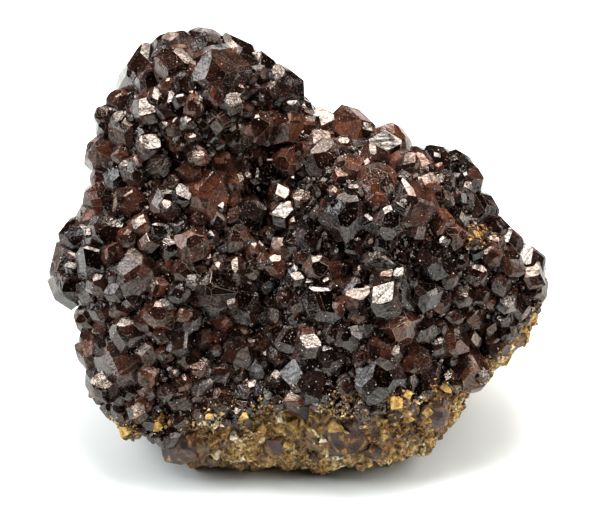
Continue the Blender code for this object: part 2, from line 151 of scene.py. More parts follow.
# Neighbours hide each crystal's sides, so a crystal is wider than what shows of it
VISIBLE_TO_WHOLE = 1.26
CRYSTAL_SUNK = 0.12
LARGE_CRYSTAL = 6 * MM
LARGE_SUNK = 0.35
# From a crystal's middle to its outermost face, as a part of its diameter
CRYSTAL_REACH = 0.48


# Repeatable noise


def hashed(cells, seed):
    """Numbers from 0 to 1 for whole-number cells: each coordinate times a large prime, folded and scrambled."""
    value = cells[..., 0] * 73856093 ^ cells[..., 1] * 19349663 ^ cells[..., 2] * 83492791 ^ seed * 2654435761
    value = value.astype(np.uint64) & 0xFFFFFFFF
    for _ in range(2):
        value = ((value >> np.uint64(16)) ^ value) * np.uint64(0x45D9F3B) & np.uint64(0xFFFFFFFF)
    return ((value >> np.uint64(16)) ^ value).astype(float) / 2**32


def noise(points, spacing, seed=0):
    """Smooth noise from -1 to 1: the eight corners' random values of each cell, blended by a smooth step."""
    scaled = points / spacing
    cell = np.floor(scaled).astype(np.int64)
    step = scaled - cell
    step = step * step * (3 - 2 * step)
    total = np.zeros(points.shape[:-1])
    for corner in np.ndindex(2, 2, 2):
        corner = np.array(corner)
        weight = np.prod(np.where(corner, step, 1 - step), axis=-1)
        total += weight * hashed(cell + corner, seed)
    return total * 2 - 1


def octaves(points, spacing, count, seed=0):
    """Noise with detail: each further layer has half the spacing and half the height."""
    return sum(noise(points, spacing / 2**k, seed + k) / 2**k for k in range(count))


def grains(points, spacing, seed=0):
    """(distance to the nearest grain's middle, to the next nearest, the nearest's own number), in spacings."""
    scaled = points / spacing
    cell = np.floor(scaled).astype(np.int64)
    nearest = np.full(points.shape[:-1], 9.0)
    second = np.full(points.shape[:-1], 9.0)
    own = np.zeros(points.shape[:-1])
    for offset in np.ndindex(3, 3, 3):
        other = cell + np.array(offset) - 1
        middle = other + np.stack([hashed(other, seed + k) for k in (11, 12, 13)], axis=-1)
        away = np.linalg.norm(scaled - middle, axis=-1)
        closer = away < nearest
        second = np.where(closer, nearest, np.minimum(second, away))
        own = np.where(closer, hashed(other, seed + 14), own)
        nearest = np.where(closer, away, nearest)
    return nearest, second, own


# The specimen's body


def around(values, angle):
    """A smooth closed curve through evenly spaced values, read at angles: a Catmull-Rom spline."""
    values = np.asarray(values, float)
    count = len(values)
    place = (angle / math.tau * count) % count
    first = np.floor(place).astype(int)
    step = place - first
    before, here, after, beyond = (values[(first + k) % count] for k in (-1, 0, 1, 2))
    slope_here = (after - before) / 2
    slope_after = (beyond - here) / 2
    return (
        here * (1 + 2 * step) * (1 - step) ** 2
        + slope_here * step * (1 - step) ** 2
        + after * (3 - 2 * step) * step**2
        - slope_after * (1 - step) * step**2
    )


def crust_edge(angle):
    return np.radians(around(CRUST_EDGE_DEG, angle))


def rim_radius(angle):
    """The body's own rim: the outline, drawn in where crystals stand outside it."""
    crusted = np.clip(0.5 - crust_edge(angle) / math.radians(30), 0, 1)
    return around(OUTLINE_MM, angle) * MM - CRYSTAL_PROUD * crusted


def relief(across, up):
    """Height of the broad lobes and troughs at a place on the face: a sum of bell shapes."""
    total = np.zeros_like(across)
    for centre_across, centre_up, spread, height in SWELLS_MM:
        away = (across / MM - centre_across) ** 2 + (up / MM - centre_up) ** 2
        total += height * MM * np.exp(-away / (2 * spread**2))
    for centre_across, centre_up, spread, depth in POCKETS_MM:
        away = (across / MM - centre_across) ** 2 + (up / MM - centre_up) ** 2
        total -= depth * MM * np.exp(-away / (2 * spread**2))
    return total


def body_points(angle, latitude, inset=0.0):
    """Places on the body, in the face frame: the front is a low dome with lobes, the back a deeper one."""
    reach = np.cos(latitude)
    radius = rim_radius(angle) * reach
    across = HUB[0] + radius * np.cos(angle)
    up = HUB[1] + radius * np.sin(angle)
    rise = np.sqrt(np.clip(1 - reach**4, 0, None))
    front = FRONT_BULGE * rise + relief(across, up) * np.minimum(1, 2 * rise)
    back = -BACK_DEPTH * np.sqrt(np.clip(1 - reach**3, 0, None))
    out = np.where(latitude >= 0, front, back)
    outward = np.stack((reach * np.cos(angle), reach * np.sin(angle), np.sin(latitude)), axis=-1)
    return np.stack((across, up, out), axis=-1) - np.asarray(inset)[..., None] * outward


def face_points(across, up):
    """The front surface's places straight behind points of the face."""
    from_hub = np.stack((across, up), axis=-1) - HUB
    angle = np.arctan2(from_hub[..., 1], from_hub[..., 0])
    reach = np.minimum(0.99, np.linalg.norm(from_hub, axis=-1) / rim_radius(angle))
    out = body_points(angle, np.arccos(reach))[..., 2]
    return np.stack((across, up, out), axis=-1)


def in_world(points):
    """From the face frame to the specimen's own."""
    return points @ FACE_TURN.T + FACE_CENTRE


def outline_near(places):
    """For each place on the face: how far inside the outline it is, and the direction inward from there."""
    angle = np.linspace(0, math.tau, 360, endpoint=False)
    radius = around(OUTLINE_MM, angle) * MM
    edge = HUB + radius[:, None] * np.stack((np.cos(angle), np.sin(angle)), axis=-1)
    along = np.roll(edge, -1, axis=0) - np.roll(edge, 1, axis=0)
    inward = np.stack((-along[:, 1], along[:, 0]), axis=-1) / np.linalg.norm(along, axis=1)[:, None]
    apart = places[:, None, :2] - edge[None]
    nearest = np.linalg.norm(apart, axis=2).argmin(axis=1)
    depth = (apart[np.arange(len(places)), nearest] * inward[nearest]).sum(axis=1)
    return depth, inward[nearest]


# Where crystals stand past the outline (or stay inside it): (across, up, reach, by how much) in millimetres
LEEWAY_MM = (
    (9, 18, 10, 1.9), (35, -13, 11, -1.8), (34, 7, 8, -1.8), (37.5, -4, 6, 0.9), (-36, 4, 6, 1.2),
    (-36, -5, 6, 0.8),
)


def kept_inside(places, diameters, leeway):
    """Draws crystals inward, square to the outline, where they would stand past it by more than the leeway."""
    places = places.copy()
    for across, up, reach, more in np.array(LEEWAY_MM) * MM:
        leeway = leeway + more * np.clip(1 - np.hypot(places[:, 0] - across, places[:, 1] - up) / reach, 0, 1)
    for _ in range(2):
        depth, inward = outline_near(places)
        places[:, :2] += inward * np.clip(CRYSTAL_REACH * diameters - leeway - depth, 0, None)[:, None]
    return places


# Meshes


def mesh_object(name, points, loops, sizes, uv=None, face_values=None, point_values=None, smooth=False):
    """An object from whole arrays: points, every face's corners in a row, and each face's number of corners.

    What would lie under the floor is worn flat there.
    """
    points = np.maximum(points, (-np.inf, -np.inf, 0))
    mesh = bpy.data.meshes.new(name)
    mesh.vertices.add(len(points))
    mesh.vertices.foreach_set("co", np.ascontiguousarray(points, np.float32).ravel())
    mesh.loops.add(len(loops))
    mesh.loops.foreach_set("vertex_index", np.ascontiguousarray(loops, np.int32))
    mesh.polygons.add(len(sizes))
    starts = np.concatenate(([0], np.cumsum(sizes)[:-1]))
    mesh.polygons.foreach_set("loop_start", starts.astype(np.int32))
    mesh.polygons.foreach_set("loop_total", np.ascontiguousarray(sizes, np.int32))
    mesh.polygons.foreach_set("use_smooth", np.full(len(sizes), smooth))
    if uv is not None:
        layer = mesh.uv_layers.new(name="across_face")
        layer.data.foreach_set("uv", np.ascontiguousarray(uv, np.float32).ravel())
    for domain, values in (("FACE", face_values), ("POINT", point_values)):
        for value_name, numbers in (values or {}).items():
            attribute = mesh.attributes.new(value_name, "FLOAT", domain)
            attribute.data.foreach_set("value", np.ascontiguousarray(numbers, np.float32))
    mesh.update(calc_edges=True)
    mesh.validate()
    made = bpy.data.objects.new(name, mesh)
    bpy.context.scene.collection.objects.link(made)
    return made


def ball_faces(columns, rows):
    """Faces of a closed round grid: a pole, rows of points round it, and the other pole."""
    column = np.arange(columns)
    after = (column + 1) % columns
    row = np.arange(rows - 1)[:, None]
    quads = np.stack(
        (
            1 + row * columns + column,
            1 + row * columns + after,
            1 + (row + 1) * columns + after,
            1 + (row + 1) * columns + column,
        ),
        axis=-1,
    ).reshape(-1, 4)
    first = np.stack((np.zeros(columns, int), 1 + after, 1 + column), axis=-1)
    top_row = 1 + (rows - 1) * columns
    last = np.stack((np.full(columns, top_row + columns), top_row + column, top_row + after), axis=-1)
    loops = np.concatenate((first.ravel(), quads.ravel(), last.ravel()))
    sizes = np.concatenate((np.full(columns, 3), np.full(len(quads), 4), np.full(columns, 3)))
    return loops, sizes


def ball_grid(columns, latitudes, place):
    """Points place(angle, row number) on a closed round grid, with one point at each pole."""
    angle = np.arange(columns) * math.tau / columns
    rows = len(latitudes)
    angles, picks = np.meshgrid(angle, np.arange(rows))
    points = place(angles, latitudes[picks])
    low, high = points[0, :1], points[-1, :1]
    return np.concatenate((low, points[1:-1].reshape(-1, 3), high))


# Crystals

# Distances and widths are parts of a crystal's diameter, and leans are in radians
BROAD_FACE_DISTANCE = 0.395
BROAD_FACE_WIDTH = 0.62
GROWTH_LEAN = 0.06
GROWTH_PART = (-0.05, 0.20)
GLINT_LEAN = 0.08
BROAD_GLINT_LEAN = 0.11
STRETCH = 0.05
LEAST_EDGE_ANGLE = math.radians(0.6)
# Two faces that meet in a corner have at least this cosine between them
MEETING_COSINE = 0.2
# A crystal this near to the outline lies with a face along it
RIM_MARGIN = 1.2 * MM
# Each crystal's growth lines start anywhere in a field of this many millimetres
LINE_FIELD = 50


def face_set():
    """The outward directions of a garnet's faces: 12 rhombs {110} and 24 trapezoids {211}."""
    directions = set()
    for base in ((1, 1, 0), (2, 1, 1)):
        for order in ((0, 1, 2), (1, 2, 0), (2, 0, 1)):
            for signs in np.ndindex(2, 2, 2):
                directions.add(tuple(base[k] * (1 - 2 * s) for k, s in zip(order, signs)))
    found = np.array(sorted(directions), float)
    return found / np.linalg.norm(found, axis=1)[:, None]


FACES = face_set()
RHOMB = np.abs(FACES).min(axis=1) < 0.1
BROAD_FACE = int(np.flatnonzero(RHOMB)[0])
RHOMB_EDGE = np.array((0.577, 0.577, -0.577))


def crystal_corners(directions, distances):
    """The corners of the solid that the faces leave at their distances: every three faces' meeting point inside."""
    number = np.arange(len(directions))
    first, second, third = np.meshgrid(number, number, number, indexing="ij")
    picks = np.stack((first, second, third), axis=-1)[(first < second) & (second < third)]
    alike = directions @ directions.T
    picks = picks[(alike[picks, np.roll(picks, 1, axis=1)] > MEETING_COSINE).all(axis=1)]
    planes = directions[picks]
    apart = np.abs(np.linalg.det(planes)) > 1e-4
    meets = np.linalg.solve(planes[apart], distances[picks[apart]][..., None])[..., 0]
    inside = (meets @ directions.T <= distances + 1e-7).all(axis=1)
    return np.unique(np.round(meets[inside], 5), axis=0)


def hull_of(corners):
    """A new bmesh with the hull of some points, and a list of the points that it encloses."""
    shape = bmesh.new()
    for corner in corners:
        shape.verts.new(corner)
    hull = bmesh.ops.convex_hull(shape, input=shape.verts)
    return shape, [part for part in set(hull["geom_interior"]) if isinstance(part, bmesh.types.BMVert)]


def form_arrays(shape):
    """A bmesh as arrays: points, every face's corners in a row, and each face's number of corners."""
    bmesh.ops.recalc_face_normals(shape, faces=shape.faces)
    shape.verts.index_update()
    return {
        "points": np.array([corner.co for corner in shape.verts]),
        "loops": np.concatenate([[corner.index for corner in face.verts] for face in shape.faces]),
        "sizes": np.array([len(face.verts) for face in shape.faces]),
    }


def crystal_form(draw, rhomb_distance, unevenness, bevel, growth_faces=0, broad_face=None):
    """One garnet of about unit diameter as arrays, with faces at uneven distances and worn edges.

    A broad face lies nearer to the middle than the others, so that it is cut into a wide polygon.
    Growth faces lean a few degrees from a true face and take a part of it, as on crystals that grew in steps.
    Each face carries its own flat coordinates and number, so that growth lines can follow it.
    """
    directions = FACES
    distances = np.where(RHOMB, rhomb_distance, 1.0) * 0.5 * (1 + draw.normal(0, unevenness, len(FACES)))
    if broad_face is not None:
        distances[broad_face] = BROAD_FACE_DISTANCE
    if growth_faces:
        of_face = draw.integers(len(FACES), size=growth_faces)
        of_face = of_face[of_face != broad_face]
        leaning = FACES[of_face] + draw.normal(0, GROWTH_LEAN, (len(of_face), 3))
        leaning /= np.linalg.norm(leaning, axis=1)[:, None]
        lean = np.arccos(np.clip((leaning * FACES[of_face]).sum(axis=1), -1, 1))
        across_part = draw.uniform(*GROWTH_PART, len(of_face))
        distances = np.append(distances, distances[of_face] * np.cos(lean) + across_part * np.sin(lean))
        directions = np.vstack((FACES, leaning))
    shape, _ = hull_of(crystal_corners(directions, distances))
    bmesh.ops.dissolve_limit(shape, angle_limit=LEAST_EDGE_ANGLE, verts=shape.verts, edges=shape.edges)
    if bevel:
        edges = shape.edges[:]
        bmesh.ops.bevel(
            shape, geom=edges, offset=bevel, segments=1, profile=0.5, affect="EDGES", clamp_overlap=True
        )
    form = form_arrays(shape)
    normals = np.array([face.normal for face in shape.faces])
    shape.free()
    alike = normals @ directions.T
    form["own"] = alike.argmax(axis=1)
    form["worn"] = alike.max(axis=1) < 0.9998
    # Flat coordinates: along the rhomb edge direction that lies nearest to the face, and square to it
    side = np.cross(normals, RHOMB_EDGE)
    side /= np.linalg.norm(side, axis=1)[:, None]
    other = np.cross(normals, side)
    of_face = np.repeat(np.arange(len(normals)), form["sizes"])
    corners = form["points"][form["loops"]]
    form["uv"] = np.stack(((corners * side[of_face]).sum(1), (corners * other[of_face]).sum(1)), axis=-1)
    return form


def random_turns(draw, count):
    """Evenly spread rotations, from random unit quaternions."""
    w, x, y, z = draw.normal(size=(count, 4)).T
    length = np.sqrt(w * w + x * x + y * y + z * z)
    w, x, y, z = w / length, x / length, y / length, z / length
    rows = (
        (1 - 2 * (y * y + z * z), 2 * (x * y - w * z), 2 * (x * z + w * y)),
        (2 * (x * y + w * z), 1 - 2 * (x * x + z * z), 2 * (y * z - w * x)),
        (2 * (x * z - w * y), 2 * (y * z + w * x), 1 - 2 * (x * x + y * y)),
    )
    return np.moveaxis(np.array(rows), -1, 0)


def turned_by(turns, before, after):
    """Turns each crystal by the smallest turn that brings its direction before to the direction after."""
    axis = np.cross(before, after)
    sine = np.linalg.norm(axis, axis=1)
    cosine = (before * after).sum(axis=1)
    axis /= np.maximum(sine, 1e-9)[:, None]
    cross = np.zeros((len(turns), 3, 3))
    cross[:, 0, 1], cross[:, 0, 2], cross[:, 1, 2] = -axis[:, 2], axis[:, 1], -axis[:, 0]
    cross -= cross.transpose(0, 2, 1)
    further = np.eye(3) + sine[:, None, None] * cross + (1 - cosine)[:, None, None] * (cross @ cross)
    return further @ turns


def turned_to(turns, directions):
    """Turns each crystal a little further, so that its face nearest to a direction has that direction."""
    faces = np.einsum("nij,fj->nfi", turns, FACES)
    nearest = faces[np.arange(len(turns)), np.einsum("nfi,ni->nf", faces, directions).argmax(axis=1)]
    return turned_by(turns, nearest, directions)


def glint_aims(draw, count, lean):
    """Directions about the one that throws the lamp's light to the camera, give or take a lean."""
    aims = GLINT_DIRECTION + draw.normal(0, lean, (count, 3))
    return aims / np.linalg.norm(aims, axis=1)[:, None]


def broad_face_turns(draw, count):
    """Turns that bring the broad face to about the glint direction, with any spin about it."""
    aims = glint_aims(draw, count, BROAD_GLINT_LEAN)
    turns = random_turns(draw, count)
    return turned_by(turns, turns @ FACES[BROAD_FACE], aims)


def some_glinting(draw, turns, share):
    """Turns a share of the crystals so that one face of each lies close to the glint direction."""
    chosen = draw.random(len(turns)) < share
    aims = glint_aims(draw, chosen.sum(), GLINT_LEAN)
    turns = turns.copy()
    turns[chosen] = turned_to(turns[chosen], aims)
    return turns


def rim_turns(turns, places, diameters):
    """Crystals that reach the outline lie with a face along it, so that the outline stays smooth."""
    depth, inward = outline_near(places)
    at_rim = depth < 0.5 * diameters + RIM_MARGIN
    outward = np.column_stack((-inward, np.zeros(len(places)))) @ FACE_TURN.T
    turns = turns.copy()
    turns[at_rim] = turned_to(turns[at_rim], outward[at_rim])
    return turns


def joined_copies(name, forms, picks, scales, turns, places, surface_values):
    """Joins copies in one mesh: each is its picked form, scaled along its own axes, turned and put in its place.

    surface_values(form, chosen) gives a batch's face values by name, and its flat coordinates if it has them.
    """
    parts = {}
    offset = 0
    for number, form in enumerate(forms):
        chosen = np.flatnonzero(picks == number)
        if not len(chosen):
            continue
        shaped = form["points"][None] * scales[chosen][:, None]
        points = np.einsum("nij,nkj->nki", turns[chosen], shaped) + places[chosen, None]
        starts = offset + np.arange(len(chosen)) * len(form["points"])
        batch = {
            "points": points.reshape(-1, 3),
            "loops": (form["loops"][None] + starts[:, None]).ravel(),
            "sizes": np.tile(form["sizes"], len(chosen)),
            **surface_values(form, chosen),
        }
        for key, values in batch.items():
            parts.setdefault(key, []).append(values)
        offset += len(chosen) * len(form["points"])
    joined = {key: np.concatenate(values) for key, values in parts.items()}
    points, loops, sizes, uv = (joined.pop(key, None) for key in ("points", "loops", "sizes", "uv"))
    return mesh_object(name, points, loops, sizes, uv, joined)


def grown_crystals(name, forms, places, diameters, turns, draw):
    """Joins many crystals: each is stretched a little and has its own tint, and each of its faces its own gleam."""
    picks = draw.integers(len(forms), size=len(places))
    stretch = 1 + draw.normal(0, STRETCH, (len(places), 3))
    # Each crystal's tint and each face's gleam set how strong its painted glow is, and the gleam also sets the face's
    # roughness
    tints = draw.random(len(places))

    def surface_values(form, chosen):
        starts = draw.random((len(chosen), 1, 2)) * LINE_FIELD
        flat = form["uv"][None] * diameters[chosen, None, None] / MM + starts
        gleam = draw.random((len(chosen), 1 + form["own"].max()))
        return {
            "uv": flat.reshape(-1, 2),
            "tint": np.repeat(tints[chosen], len(form["sizes"])),
            "gleam": gleam[:, form["own"]].ravel(),
            "worn": np.tile(form["worn"], len(chosen)),
        }

    return joined_copies(name, forms, picks, diameters[:, None] * stretch, turns, places, surface_values)


def crust_places(draw, tries, lowest=crust_edge):
    """Random places over the crust, down to its edge, evenly by the area of a ball: (angle, latitude) arrays."""
    angle = draw.uniform(0, math.tau, tries)
    return angle, np.arcsin(draw.uniform(np.sin(lowest(angle)), 1))


def spaced(places, diameters, kept_places, kept_diameters, share):
    """Which of the places stay at least a share of the two diameters' sum from those kept before them."""
    chosen = []
    for number, (place, diameter) in enumerate(zip(places, diameters)):
        away = np.linalg.norm(kept_places - place, axis=1)
        if (away > share * (kept_diameters + diameter)).all():
            chosen.append(number)
            kept_places = np.vstack((kept_places, place))
            kept_diameters = np.append(kept_diameters, diameter)
    return np.array(chosen, int)


def largest_first(places, diameters, kept_places, kept_diameters, share):
    """The spaced ones of some places, the largest taken first."""
    order = np.argsort(-diameters)
    places, diameters = places[order], diameters[order]
    chosen = spaced(places, diameters, kept_places, kept_diameters, share)
    return places[chosen], diameters[chosen]


# Materials


def linear(hex_colour):
    """A colour from its sRGB hex value to the linear values that shaders take."""
    channels = [int(hex_colour[k : k + 2], 16) / 255 for k in (1, 3, 5)]
    return [c / 12.92 if c <= 0.04045 else ((c + 0.055) / 1.055) ** 2.4 for c in channels] + [1.0]


def add_node(tree, kind, inputs=None, output=0, stops=(), **settings):
    """Adds a node, sets its properties, fills its inputs by name or number, and gives one of its outputs.

    An input takes a socket, which is linked, or a plain value, which is a colour where it is a hex value.
    Stops are a colour ramp's positions, each with a hex colour or a grey value.
    """
    made = tree.nodes.new(kind)
    for key, value in settings.items():
        setattr(made, key, value)
    while stops and len(made.color_ramp.elements) < len(stops):
        made.color_ramp.elements.new(0.5)
    for number, (position, colour) in enumerate(stops):
        element = made.color_ramp.elements[number]
        element.position = position
        element.color = linear(colour) if isinstance(colour, str) else (colour, colour, colour, 1)
    for key, value in (inputs or {}).items():
        if isinstance(value, bpy.types.NodeSocket):
            tree.links.new(value, made.inputs[key])
        else:
            made.inputs[key].default_value = linear(value) if isinstance(value, str) else value
    return made.outputs[output] if made.outputs else None


# A colour mix's factor and two colours by input number, and its output
FACTOR, FIRST, SECOND, MIXED = 0, 6, 7, 2
MULTIPLIED = {"data_type": "RGBA", "blend_type": "MULTIPLY"}
BLENDED = {"data_type": "RGBA", "blend_type": "MIX"}


def new_material(name):
    """An empty material, its node tree, and the places on the object that patterns are laid out in."""
    made = bpy.data.materials.new(name)
    made.use_nodes = True
    made.node_tree.nodes.clear()
    return made, made.node_tree, add_node(made.node_tree, "ShaderNodeTexCoord", output="Object")


def finish_material(tree, inputs):
    """The surface, with these inputs, and the output that it goes to."""
    surface = add_node(tree, "ShaderNodeBsdfPrincipled", inputs)
    add_node(tree, "ShaderNodeOutputMaterial", {"Surface": surface})


def cloudy(place, size_mm, detail, roughness=0.5):
    """A noise's inputs for clouds of this size: texture scales are per metre."""
    return {"Vector": place, "Scale": 1 / (size_mm * MM), "Detail": detail, "Roughness": roughness}


def garnet_body_and_glow(tree, place, tint, gleam, worn):
    """The colour inside a crystal: dark, with a painted glow in clouds where it is clear, and paler worn edges."""
    # Painted glow: clouds of some 2 mm, stronger in some crystals and behind some faces, with a finer mottle
    clouds = add_node(tree, "ShaderNodeTexNoise", cloudy(place, 2.2, 2.5, 0.55))
    of_crystal = add_node(tree, "ShaderNodeMath", {0: tint, 1: 0.50, 2: -0.5}, operation="MULTIPLY_ADD")
    of_face = add_node(tree, "ShaderNodeMath", {0: gleam, 1: 0.40, 2: of_crystal}, operation="MULTIPLY_ADD")
    glow_level = add_node(tree, "ShaderNodeMath", {0: clouds, 1: of_face}, operation="ADD")
    body = add_node(tree, "ShaderNodeValToRGB", {"Fac": glow_level}, stops=GARNET_BODY_AND_GLOW_COLOURS)
    mottle = add_node(tree, "ShaderNodeTexNoise", cloudy(place, 0.38, 2.0, 0.6))
    shade = add_node(tree, "ShaderNodeValToRGB", {"Fac": mottle}, stops=((0.36, 0.25), (0.50, 0.75), (0.62, 1.0)))
    mottled = add_node(tree, "ShaderNodeMix", {FACTOR: 0.8, FIRST: body, SECOND: shade}, MIXED, **MULTIPLIED)
    # Worn edges are paler, as frosted glass is, and so are tiny bruises all over the faces
    frosting = add_node(tree, "ShaderNodeMath", {0: worn, 1: 0.6}, operation="MULTIPLY")
    edged = add_node(tree, "ShaderNodeMix", {FACTOR: frosting, FIRST: mottled, SECOND: "#7d6f63"}, MIXED, **BLENDED)
    spots = add_node(tree, "ShaderNodeTexNoise", cloudy(place, 0.30, 1.0))
    spot_range = {"Value": spots, "From Min": 0.64, "From Max": 0.74, "To Min": 0.0, "To Max": 0.30}
    bruises = add_node(tree, "ShaderNodeMapRange", spot_range)
    bruised = add_node(tree, "ShaderNodeMix", {FACTOR: bruises, FIRST: edged, SECOND: "#8d7f72"}, MIXED, **BLENDED)
    return bruised, mottle


def garnet_sheen(tree, place, tint, lines):
    """How much each place mirrors: a film takes some of it, in spots and along the growth lines, and warms it."""
    spots = add_node(tree, "ShaderNodeTexNoise", cloudy(place, 0.42, 2.0, 0.65))
    spotted = add_node(tree, "ShaderNodeValToRGB", {"Fac": spots}, stops=((0.38, 0.40), (0.50, 0.84), (0.57, 1.0)))
    streaked = add_node(tree, "ShaderNodeValToRGB", {"Fac": lines}, stops=((0.38, 0.45), (0.52, 0.95), (0.60, 1.0)))
    taken = add_node(tree, "ShaderNodeMix", {FACTOR: 1.0, FIRST: spotted, SECOND: streaked}, MIXED, **MULTIPLIED)
    warmth = ((0.05, "#f8f1ec"), (0.40, "#fff1e6"), (0.90, "#ffe8d8"))
    hue = add_node(tree, "ShaderNodeValToRGB", {"Fac": tint}, stops=warmth)
    return add_node(tree, "ShaderNodeMix", {FACTOR: 1.0, FIRST: hue, SECOND: taken}, MIXED, **MULTIPLIED)


def garnet_relief(tree, place, lines, mottle):
    """The faces' fine shape: a mosaic of blocks that lean a little to and fro, growth lines, and a fine grain."""
    block = add_node(tree, "ShaderNodeTexVoronoi", {"Vector": place, "Scale": 1 / (1.2 * MM)}, "Color")
    centred = add_node(tree, "ShaderNodeVectorMath", {0: block, 1: (0.5, 0.5, 0.5)}, operation="SUBTRACT")
    leaning = add_node(tree, "ShaderNodeVectorMath", {0: centred, 3: MOSAIC_LEAN}, operation="SCALE")
    outward = add_node(tree, "ShaderNodeNewGeometry", output="Normal")
    leant = add_node(tree, "ShaderNodeVectorMath", {0: outward, 1: leaning}, operation="ADD")
    level = add_node(tree, "ShaderNodeVectorMath", {0: leant}, operation="NORMALIZE")
    line_relief = {"Height": lines, "Strength": 0.32, "Distance": 0.12 * MM, "Normal": level}
    lined = add_node(tree, "ShaderNodeBump", line_relief)
    grain_relief = {"Height": mottle, "Strength": 0.50, "Distance": 0.09 * MM, "Normal": lined}
    return add_node(tree, "ShaderNodeBump", grain_relief)


# The body's colours: the paler, warmer stops are painted glow, as of light passing through the crystal
GARNET_BODY_AND_GLOW_COLOURS = ((0.10, "#050201"), (0.34, "#140805"), (0.54, "#261510"), (0.71, "#3c2018"), (0.92, "#57301f"))
MOSAIC_LEAN = 0.12
# Growth lines are long along a face's first direction and close across it, in features to the millimetre
LINES_ALONG, LINES_ACROSS = 0.35, 2.4


def garnet_material():
    """Garnet, grown: hard glassy crystal faces over a dark body, with a painted orange brown glow where it is clear.

    The eye sees near-black red brown, warm patches of painted glow inside, fine growth lines on each face, and mirror
    glints.
    """
    made, tree, place = new_material("grown_garnet")
    tint, gleam, worn = (
        add_node(tree, "ShaderNodeAttribute", output="Fac", attribute_name=name) for name in ("tint", "gleam", "worn")
    )
    flat = add_node(tree, "ShaderNodeUVMap", uv_map="across_face")
    stretched = add_node(tree, "ShaderNodeMapping", {"Vector": flat, "Scale": (LINES_ALONG, LINES_ACROSS, 1.0)})
    lines = add_node(tree, "ShaderNodeTexNoise", {"Vector": stretched, "Scale": 1.0, "Detail": 3.0})
    colour, mottle = garnet_body_and_glow(tree, place, tint, gleam, worn)
    # Each face is rough in its own degree, and patches of it are duller
    film = add_node(tree, "ShaderNodeTexNoise", cloudy(place, 0.9, 3.0, 0.7))
    uneven = add_node(tree, "ShaderNodeMath", {0: film, 1: 0.5, 2: -0.22}, operation="MULTIPLY_ADD")
    summed = add_node(tree, "ShaderNodeMath", {0: gleam, 1: uneven}, operation="ADD")
    rough_range = {"Value": summed, "From Min": 0.15, "From Max": 1.0, "To Min": 0.03, "To Max": 0.28}
    surface = {
        "Base Color": colour,
        "Roughness": add_node(tree, "ShaderNodeMapRange", rough_range),
        "IOR": 1.74,
        "Specular Tint": garnet_sheen(tree, place, tint, lines),
        "Normal": garnet_relief(tree, place, lines, mottle),
    }
    finish_material(tree, surface)
    return made


def dust_material():
    """Fine rock dust, lying loose: pale warm grey, matt, each speck a little lighter or darker."""
    made, tree, place = new_material("pale_dust")
    clouds = add_node(tree, "ShaderNodeTexNoise", cloudy(place, 1.0, 2.0))
    shade = add_node(tree, "ShaderNodeValToRGB", {"Fac": clouds}, stops=((0.35, "#8b8074"), (0.65, "#d9d3c8")))
    finish_material(tree, {"Base Color": shade, "Roughness": 0.8})
    return made


def ochre_material():
    """Yellow ochre, dried as a crust on the rock: earthy, quite matt, paler where it is thick."""
    made, tree, place = new_material("dried_ochre")
    clouds = add_node(tree, "ShaderNodeTexNoise", cloudy(place, 0.7, 3.0, 0.6))
    thickness = ((0.34, "#76562a"), (0.50, "#a68346"), (0.64, "#c8aa6c"))
    shade = add_node(tree, "ShaderNodeValToRGB", {"Fac": clouds}, stops=thickness)
    crumbly = add_node(tree, "ShaderNodeBump", {"Height": clouds, "Strength": 0.6, "Distance": 0.2 * MM})
    finish_material(tree, {"Base Color": shade, "Roughness": 0.85, "Normal": crumbly})
    return made


WORN_GARNET_COLOURS = (
    (0.30, "#140a07"), (0.46, "#2f1a12"), (0.54, "#4d2f20"), (0.60, "#735629"), (0.68, "#a57c36"),
)


def dull_garnet_material():
    """Garnet, broken and dusted with rock: purple brown under an earthy film, with a weak sheen."""
    made, tree, place = new_material("worn_garnet")
    clouds = add_node(tree, "ShaderNodeTexNoise", cloudy(place, 1.6, 4.0, 0.7))
    body = add_node(tree, "ShaderNodeValToRGB", {"Fac": clouds}, stops=WORN_GARNET_COLOURS)
    chipped = add_node(tree, "ShaderNodeBump", {"Height": clouds, "Strength": 0.7, "Distance": 0.3 * MM})
    finish_material(tree, {"Base Color": body, "Roughness": 0.42, "IOR": 1.5, "Normal": chipped})
    return made


ROCK_COLOURS = (
    (0.00, "#221710"), (0.15, "#4b3422"), (0.30, "#684931"), (0.43, "#745e3e"),
    (0.56, "#8f602f"), (0.70, "#b18844"), (0.85, "#cfb274"), (1.00, "#e8dcc0"),
)


